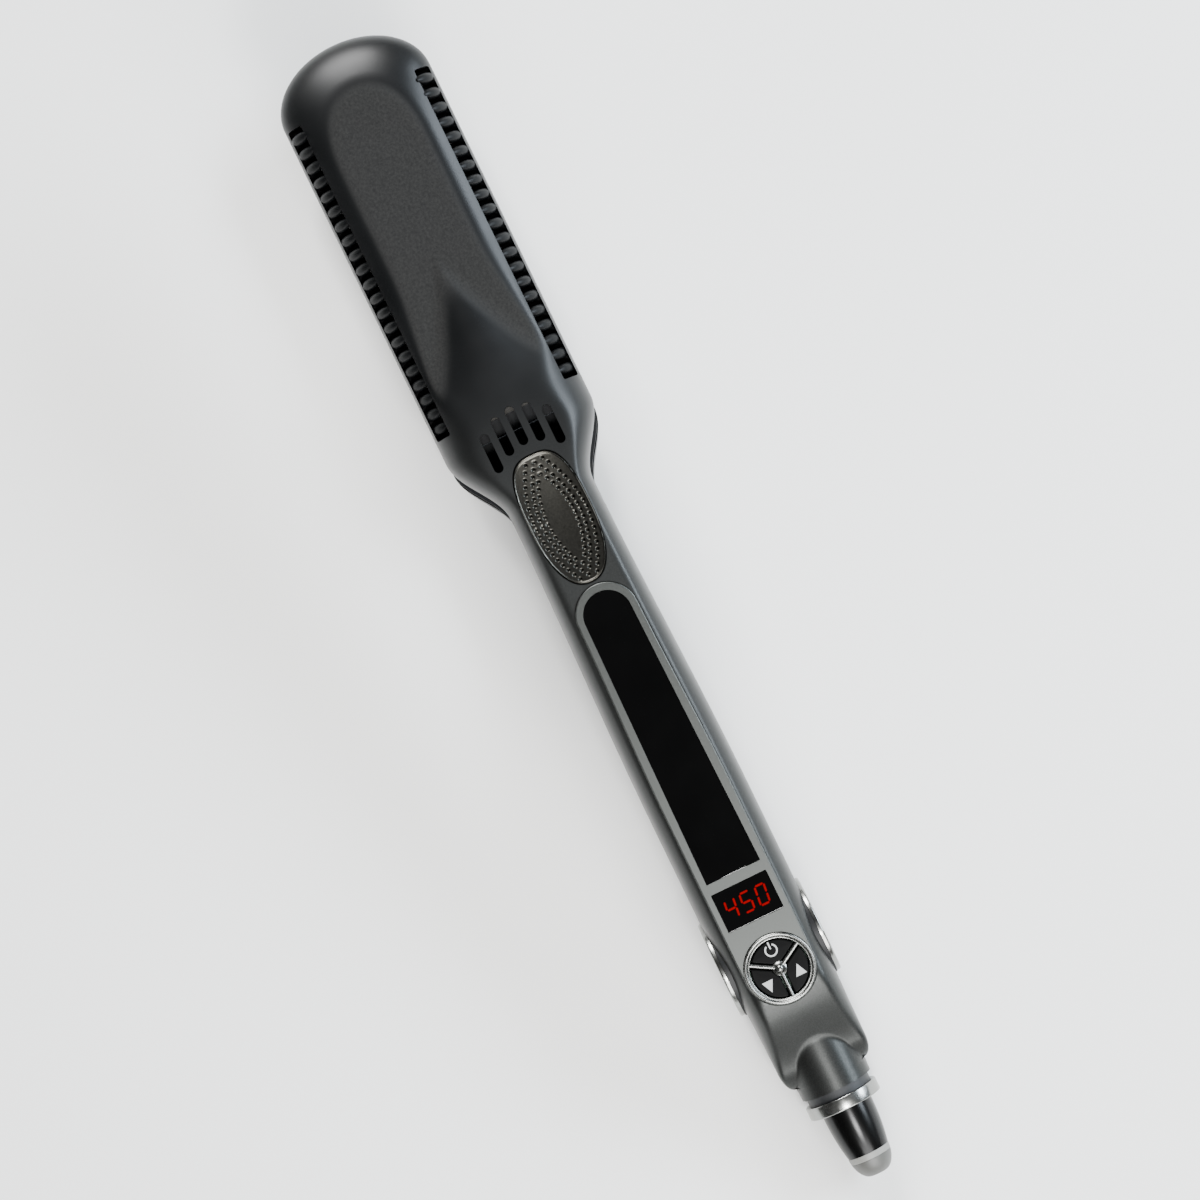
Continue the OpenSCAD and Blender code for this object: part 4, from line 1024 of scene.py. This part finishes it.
class IRON_OT_display(bpy.types.Operator):
    """Make the display bezel, its two windows and the lit readout"""

    bl_idname = "iron.display"
    bl_label = "Display"

    def execute(self, context):
        g = Sizes(context.scene)
        top = closed_box("display_bezel", "upper")[1][2]
        foot = g.crown_z - 1.2
        led_low, led_high = closed_box("temperature_window", "upper")
        long_low, long_high = closed_box("display_window", "upper")
        led = rounded_rectangle(led_low[0], led_high[0], led_high[1], 0.25, 3)
        long_window = self.window_outline(long_low[0], long_high[0], 6.55, long_high[1])
        frame_piece = prism("display_bezel_frame", bezel_outline(), foot, top, 0.3, 4)
        cutters = [
            cutter(inward(shape, -0.06), foot - 1, top + 1)
            for shape in (led, long_window, circle_outline(key_u(), 0, RING_SEAT_R, 96))
        ]
        cut_out(frame_piece, cutters)
        seat(frame_piece, "upper", "upper_arm", MATERIALS["bezel"], ["display_bezel"], 30)
        for name, shape, node in (
            ("long_window_pane", long_window, "display_window"),
            ("temperature_pane", led, "temperature_window"),
        ):
            pane = prism(name, shape, foot, top - 0.12, 0.12, 3)
            seat(pane, "upper", "upper_arm", MATERIALS["window"], [node], 30)
        self.readout((led_low[0] + led_high[0]) / 2, top - 0.12)
        return {"FINISHED"}

    def window_outline(self, start, end, start_half, end_half):
        """Half circle at the head end, sides that widen evenly, and a square end."""
        a = np.linspace(np.pi / 2, np.pi, 24)
        arc = polar(start_half, a, start + start_half)
        u = np.linspace(end, start + start_half, 12)[:-1]
        y = start_half + (end_half - start_half) * (u - start - start_half) / (end - start - start_half)
        upper_half = np.concatenate([np.stack([u, y], -1), arc])
        return np.concatenate([upper_half, upper_half[-2::-1] * [1, -1]])

    def readout(self, centre_u, face_z):
        """Seven-bar digits of 450, each bar a long hexagon, leaning a little."""
        high, wide, thick = 2.6, 1.3, 0.55
        bars = {
            "top": (-high, 0, 0), "top_right": (-high / 2, wide, 1), "low_right": (high / 2, wide, 1),
            "bottom": (high, 0, 0), "low_left": (high / 2, -wide, 1), "top_left": (-high / 2, -wide, 1),
            "middle": (0, 0, 0),
        }
        unlit = {"4": ("top", "bottom", "low_left"), "5": ("top_right", "low_left"), "0": ("middle",)}
        for place, digit in enumerate("450"):
            parts = []
            for word, (u, y, upright) in bars.items():
                if word in unlit[digit]:
                    continue
                run = (high if upright else 2 * wide) / 2 - 0.12
                shape = np.array(
                    [(run, 0), (run - thick / 2, thick / 2), (thick / 2 - run, thick / 2), (-run, 0),
                     (thick / 2 - run, -thick / 2), (run - thick / 2, -thick / 2)]
                )
                if not upright:
                    shape = np.stack([-shape[:, 1], shape[:, 0]], -1)
                shape = shape + [u, y]
                shape[:, 1] -= 0.1 * shape[:, 0]
                shape = shape + [centre_u, 4.45 * (place - 1) - 0.1]
                parts.append(prism("bar", shape, face_z - 0.2, face_z + 0.03, 0.02, 1))
            digit_obj = join(f"readout_digit_{place + 1}", parts)
            seat(digit_obj, "upper", "upper_arm", MATERIALS["led"])


class IRON_OT_keys(bpy.types.Operator):
    """Make the key ring with its spokes and hub, the three keys and their marks"""

    bl_idname = "iron.keys"
    bl_label = "Keys"

    def execute(self, context):
        ring_low, ring_high = closed_box("control_ring", "upper")
        centre, ring_r, top = key_u(), (ring_high[0] - ring_low[0]) / 2, ring_high[2]
        foot = ring_low[2]
        at_keys = Matrix.Translation((centre, 0, 0))
        self.ring(ring_r, foot, top, at_keys)
        for word, turn in (("power", 180), ("down", -60), ("up", 60)):
            low, high = closed_box(f"{word}_key", "upper")
            face = high[2]
            shape = self.sector(ring_r - RING_BAND - 0.28, 2.1, turn)
            cap = prism(f"{word}_key_cap", shape, low[2], face, 0.28, 4, dome=0.04)
            seat(cap, "upper", f"{word}_button", MATERIALS["key"], [f"{word}_key"], 40, at_keys)
            marks = join(f"{word}_mark", self.mark(word, face + 0.08))
            seat(marks, "upper", f"{word}_button", MATERIALS["ink"], (), 40, at_keys)
        return {"FINISHED"}

    def ring(self, ring_r, foot, top, at_keys):
        """Two beads with a groove between them, three round-backed spokes and a domed hub."""
        inner_r = ring_r - RING_BAND
        profile = [(inner_r, foot), (ring_r, foot)]
        profile += arc_points(ring_r - 0.5, top - 0.5, 0.5, 0, 150, 8)
        profile += arc_points(inner_r + 0.32, top - 0.72, 0.32, 60, 180, 6)
        profile += [profile[0]]
        parts = [lathe("band", profile, 160)]
        for turn in (0, 120, 240):
            r = np.linspace(1.0, inner_r + 0.2, 12)
            a = math.radians(turn)
            path = np.stack([r * math.cos(a), r * math.sin(a), np.full(12, top - 0.85)], -1)
            parts.append(tube("spoke", path, 0.55, 16))
            wall = np.array([(0.8, -0.35), (inner_r, -0.35), (inner_r, 0.35), (0.8, 0.35)])
            parts.append(prism("web", spun(wall, turn), foot, top - 0.8, 0.02, 1))
        hub = [(0, foot), (2.05, foot)] + arc_points(1.7, top - 1.0, 0.35, 0, 80, 5)
        hub += arc_points(0, top - 0.55, 1.2, 20, 90, 12)
        parts.append(lathe("hub", hub, 64))
        wheel = join("key_ring_wheel", parts)
        finish = MATERIALS["satin_chrome"]
        seat(wheel, "upper", "upper_arm", finish, ["control_ring"], 40, at_keys)

    def sector(self, outer, inner, turn):
        """Third of a ring between two spokes, its corners rounded by short arcs."""
        gap, corner = 0.55 + 0.32, 0.5
        side = math.radians(60)
        lean = 0.35
        half_a = side - math.asin((gap + corner) / (outer - corner))
        low_r = inner + corner
        half_b = side - math.asin(min(0.99, (gap + corner) / low_r))
        points = []
        for r, a, start, end in (
            (outer - corner, -half_a, -half_a - np.pi / 2 - lean, -half_a),
            (outer - corner, half_a, half_a, half_a + np.pi / 2 + lean),
            (low_r, half_b, half_a + np.pi / 2 + lean, half_b + np.pi),
            (low_r, -half_b, np.pi - half_b, 1.5 * np.pi - half_a - lean),
        ):
            turns = np.linspace(start, end, 7)
            points.append(polar(corner, turns, r * math.cos(a), r * math.sin(a)))
            if a == -half_a and r == outer - corner:
                rim = np.linspace(-half_a, half_a, 26)[1:-1]
                points.append(outer * np.stack([np.cos(rim), np.sin(rim)], -1))
        return spun(np.concatenate(points), turn)

    def mark(self, word, face):
        """Thin printed marks: an open ring with a bar, or a triangle, all pointing along the arm."""
        low, high = face - 0.12, face + 0.03
        if word == "power":
            r, thick, centre = 1.55, 0.42, -5.3
            a = np.radians(np.linspace(-150, 150, 50))
            top = np.stack([polar(r + thick / 2, a, centre), polar(r - thick / 2, a, centre)], 1)
            solid = [np.concatenate([top, np.full((len(a), 2, 1), z)], -1) for z in (high, low)]
            ring = slab("mark", *solid)
            bar = rounded_rectangle(centre - 2.3, centre - 0.3, thick / 2, 0.15, 3)
            return [ring, prism("bar", bar, low, high, 0.02, 1)]
        centre, tip = (np.array([3.1, -4.5]), 1) if word == "down" else (np.array([2.5, 4.5]), -1)
        corners = np.array([(tip * 1.75, 0), (-tip * 1.45, 1.55), (-tip * 1.45, -1.55)])
        if tip < 0:
            corners = corners[::-1]
        return [prism("triangle", corners + centre, low, high, 0.02, 1)]


class IRON_OT_hinge_caps(bpy.types.Operator):
    """Make the bright three-spoke caps over the hinge"""

    bl_idname = "iron.hinge_caps"
    bl_label = "Hinge caps"

    def execute(self, context):
        g = Sizes(context.scene)
        for side, word in ((-1, "left"), (1, "right")):
            low, high = closed_box(f"hinge_cap_{word}", "upper")
            r, thick = (high[0] - low[0]) / 2, high[1] - low[1]
            face = low[1] if side > 0 else -high[1]
            outward = Matrix.Translation((g.hinge_u, 0, 0)) @ Matrix.Rotation(-side * math.pi / 2, 4, "X")
            wheel = self.wheel(f"hinge_cap_{word}_wheel", r, face, thick)
            covered = [f"hinge_cap_{word}"]
            seat(wheel, "upper", "upper_arm", MATERIALS["chrome"], covered, 35, outward)
            dish_r, back = r - 1.9, face - 0.05
            profile = [(0, back), (dish_r, back), (dish_r, face + 0.2), (0, face + 0.3)]
            dish = lathe(f"hinge_dish_{word}", profile)
            seat(dish, "upper", "upper_arm", MATERIALS["key"], (), 35, outward)
        return {"FINISHED"}

    def wheel(self, name, r, face, thick):
        """Rounded rim with a groove, three spokes that widen outwards, and a hub with a dome."""
        rim = [(r - 2.6, face), (r, face)]
        rim += arc_points(r - 0.55, face + thick - 0.55, 0.55, 0, 140, 8)
        rim += arc_points(r - 1.95, face + thick - 0.62, 0.62, 60, 180, 7)
        rim += [rim[0]]
        parts = [lathe("rim", rim, 160)]
        for turn in (0, 120, 240):
            shape = np.array([(1.5, -0.8), (r - 2.2, -1.3), (r - 2.2, 1.3), (1.5, 0.8)])
            parts.append(prism("spoke", spun(shape, turn), face, face + thick - 0.35, 0.3, 3))
        hub = [(0, face), (3.6, face)] + arc_points(3.1, face + thick - 0.5, 0.5, 0, 90, 5)
        hub += [(2.2, face + thick), (1.9, face + thick - 0.2), (0, face + thick - 0.2)]
        parts.append(lathe("hub", hub, 64))
        return join(name, parts)


class IRON_OT_tail(bpy.types.Operator):
    """Make the bright collar, the cord boot, a pale band of painted reflection and its tip"""

    bl_idname = "iron.tail"
    bl_label = "Tail"

    def execute(self, context):
        low, high = closed_box("tail_collar", "upper")
        r, wide = high[1], high[0] - low[0]
        edge = 0.35
        inner_r = r - 1.2
        profile = [(inner_r, 0)] + arc_points(r - edge, edge, edge, -90, 0, 4)
        profile += arc_points(r - edge, wide - edge, edge, 0, 90, 4) + [(inner_r, wide), (inner_r, 0)]
        collar = lathe("tail_collar_band", profile, 160)
        place = lying(low[0])
        seat(collar, "upper", "upper_arm", MATERIALS["chrome"], ["tail_collar"], 30, place)

        boot_low, boot_high = closed_box("swivel_boot", "upper")
        tip_low, tip_high = closed_box("boot_tip", "upper")
        start, split, end = boot_low[0], tip_low[0], tip_high[0]
        boot_r, split_r, hole_r = boot_high[1], tip_high[1], 2.0
        full, tip_r, band = end - start, 2.8, 1.7

        def boot_radius(x):
            """Bullet curve: r = R - (R - S) t^2.3 down the sleeve to S, and round the tip to E it is
            E + (S - E) (1 - t^2.2)^0.7."""
            sleeve = split - start
            if x <= sleeve:
                return boot_r - (boot_r - split_r) * (x / sleeve) ** 2.3
            t = min(1.0, (x - sleeve) / (full - sleeve))
            return tip_r + (split_r - tip_r) * (1 - t**2.2) ** 0.7

        def piece(name, from_x, to_x, material, node, steps):
            """Turned piece of the boot between two lengths, with a fine step at its head end."""
            x = np.linspace(from_x, to_x, steps + 1)
            wall = [(boot_radius(v), v) for v in x]
            wall[0] = (wall[0][0] - 0.12, wall[0][1])
            wall.insert(1, (boot_radius(from_x + 0.12), from_x + 0.12))
            ring = [(hole_r, from_x), *wall, (hole_r, to_x), (hole_r, from_x)]
            made = lathe(name, ring, 128)
            seat(made, "upper", "cord_swivel", MATERIALS[material], node, 30, lying(start))

        piece("cord_boot_sleeve", 0.0, split - start, "boot", ["swivel_boot"], 28)
        # The pale band is a painted reflection: the light rim on the gloss black boot, drawn as its own ring
        piece("cord_boot_band", split - start, split - start + band, "band", (), 4)
        piece("cord_boot_tip", split - start + band, full, "tip", ["boot_tip"], 40)
        return {"FINISHED"}


class IRON_OT_plates(bpy.types.Operator):
    """Make the two heated plates with their rounded edges"""

    bl_idname = "iron.plates"
    bl_label = "Heated plates"

    def execute(self, context):
        for arm in ("lower", "upper"):
            low, high = closed_box(f"{arm}_plate", arm)
            shape = rounded_rectangle(low[0], high[0], high[1], 3.0, 10)
            # Drawn face up and then turned over, so that the rounded edge is the working face
            back_z, face_z = 0.05 - high[2], -low[2]
            plate = prism(f"{arm}_plate_face", shape[::-1] * [1, -1], back_z, face_z, 0.8, 6)
            over = Matrix.Rotation(math.pi, 4, "X")
            body, finish = f"{arm}_floating_plate", MATERIALS["plate"]
            seat(plate, arm, body, finish, [f"{arm}_plate"], 30, over)
        return {"FINISHED"}


class IRON_OT_inner_parts(bpy.types.Operator):
    """Give every carried-over solid its finish"""

    bl_idname = "iron.inner_parts"
    bl_label = "Inner parts"

    FINISHES = {
        "inner_cover": "cover", "plate_frame": "resin", "cushion_springs": "spring", "cover_screws": "screw",
        "plate_carrier": "carrier", "heater": "heater", "hinge_tongue": "cover", "hinge_bushes": "brass",
        "opening_spring": "spring", "hinge_yoke": "cover", "hinge_pin": "pin", "tail_cover_screws": "screw",
        "swivel_bush": "resin", "thermal_fuse": "fuse", "led_module": "switch", "control_board": "board",
        "key_switches": "switch", "swivel_stem": "resin",
    }

    def execute(self, context):
        for name, node in frame["nodes"].items():
            if node.hide_render:
                continue
            word = name.removeprefix("lower_").removeprefix("upper_")
            node.data.materials.clear()
            node.data.materials.append(MATERIALS[self.FINISHES[word]])
        return {"FINISHED"}


class IRON_OT_stage(bpy.types.Operator):
    """Make the floor, the lights and the camera"""

    bl_idname = "iron.stage"
    bl_label = "Stage"

    def execute(self, context):
        scene = context.scene
        stage = scene.iron_stage
        self.floor(scene)
        world = bpy.data.worlds.new("Plain room")
        world.use_nodes = True
        backdrop = world.node_tree.nodes["Background"]
        backdrop.inputs["Color"].default_value = (1, 1, 1, 1)
        backdrop.inputs["Strength"].default_value = stage.sky
        scene.world = world
        nose, head, tail = (UPPER @ Vector((u, 0, 12)) for u in (10, 80, HINGE_U + 10))
        self.area("Nose panel", nose + Vector((-1.5, 0.1, 1.1)), nose, (0.9, 0.6), stage.nose_power)
        self.area("Tail panel", tail + Vector((1.5, 0.0, 1.2)), tail, (1.6, 1.0), stage.tail_power)
        beside = head + Vector((0.05, 1.0, 0.5))
        self.area("Side panel", beside, head, (0.9, 0.3), stage.side_power, (0.8, 0.9, 1.0))
        self.area("Crown light", tail + Vector((0.42, 0.0, 0.84)), tail, (0.2, 0.1), stage.crown_power)
        self.camera(scene, stage)
        return {"FINISHED"}

    def floor(self, scene):
        """A square of white card that the iron lies on."""
        card = tuple(scene.iron_colours.floor)
        made, tree, bsdf, coords = new_material("Matt white card", base_color=card, roughness=0.9)
        fine = grain(tree, coords, 0.6).outputs["Fac"]
        bump(tree, bsdf, fine, 0.1, 0.01)
        mesh = bpy.data.meshes.new("floor")
        reach = 3.0
        corners = [(-reach, -reach, 0), (reach, -reach, 0), (reach, reach, 0), (-reach, reach, 0)]
        mesh.from_pydata(corners, [], [(0, 1, 2, 3)])
        mesh.materials.append(made)
        floor = bpy.data.objects.new("floor", mesh)
        scene.collection.objects.link(floor)

    def area(self, name, place, target, size, power, colour=(1.0, 1.0, 1.0)):
        """A rectangular lamp at a place, turned towards its target."""
        light = bpy.data.lights.new(name, "AREA")
        light.shape = "RECTANGLE"
        light.size, light.size_y = size
        light.energy, light.color = power, colour
        lamp = bpy.data.objects.new(name, light)
        lamp.location = place
        lamp.rotation_mode = "QUATERNION"
        lamp.rotation_quaternion = (target - place).to_track_quat("-Z", "Y")
        bpy.context.scene.collection.objects.link(lamp)

    def camera(self, scene, stage):
        """Above the upper arm, leaning by camera_tilt, and turned so that the arm runs down to the right."""
        data = bpy.data.cameras.new("Camera")
        data.lens, data.sensor_width = stage.camera_lens, 36.0
        camera = bpy.data.objects.new("Camera", data)
        height = stage.camera_height / MM
        look_u, look_y, look_z = stage.camera_u / MM, -0.23, 10.0
        target = UPPER @ Vector((look_u, look_y, look_z))
        place_u = look_u - height * math.tan(stage.camera_tilt)
        place = UPPER @ Vector((place_u, look_y, look_z + height))
        back = (place - target).normalized()
        along = (UPPER.to_3x3() @ Vector((1, 0, 0))).normalized()
        along = (along - back * along.dot(back)).normalized()
        right = math.cos(stage.camera_turn) * along + math.sin(stage.camera_turn) * back.cross(along)
        axes = Matrix((right, back.cross(right), back)).transposed().to_4x4()
        camera.matrix_world = Matrix.Translation(place) @ axes
        scene.collection.objects.link(camera)
        scene.camera = camera


OPERATORS = (
    IRON_OT_shells,
    IRON_OT_vents,
    IRON_OT_thumb_pad,
    IRON_OT_display,
    IRON_OT_keys,
    IRON_OT_hinge_caps,
    IRON_OT_tail,
    IRON_OT_plates,
    IRON_OT_inner_parts,
    IRON_OT_stage,
)


class IRON_PT_panel(bpy.types.Panel):
    """Lists the steps that build the iron"""

    bl_idname = "IRON_PT_panel"
    bl_label = "Hair iron"
    bl_space_type = "VIEW_3D"
    bl_region_type = "UI"
    bl_category = "Hair iron"

    def draw(self, context):
        for operator in OPERATORS:
            self.layout.operator(operator.bl_idname)
        for group in GROUPS:
            box = self.layout.box()
            for name in GROUPS[group].__annotations__:
                box.prop(getattr(context.scene, group), name)


GROUPS = {
    "iron_arm": IronArmSizes,
    "iron_tail": IronTailSizes,
    "iron_colours": IronColours,
    "iron_stage": IronStage,
}


def register():
    for cls in (*GROUPS.values(), *OPERATORS, IRON_PT_panel):
        bpy.utils.register_class(cls)
    for name, cls in GROUPS.items():
        setattr(bpy.types.Scene, name, PointerProperty(type=cls))


def unregister():
    for name in GROUPS:
        delattr(bpy.types.Scene, name)
    for cls in reversed((*GROUPS.values(), *OPERATORS, IRON_PT_panel)):
        bpy.utils.unregister_class(cls)


def main():
    """Builds the iron step by step."""
    register()
    make_materials(bpy.context.scene)
    for operator in OPERATORS:
        group, name = operator.bl_idname.split(".")
        getattr(getattr(bpy.ops, group), name)()


if __name__ == "__main__":
    main()
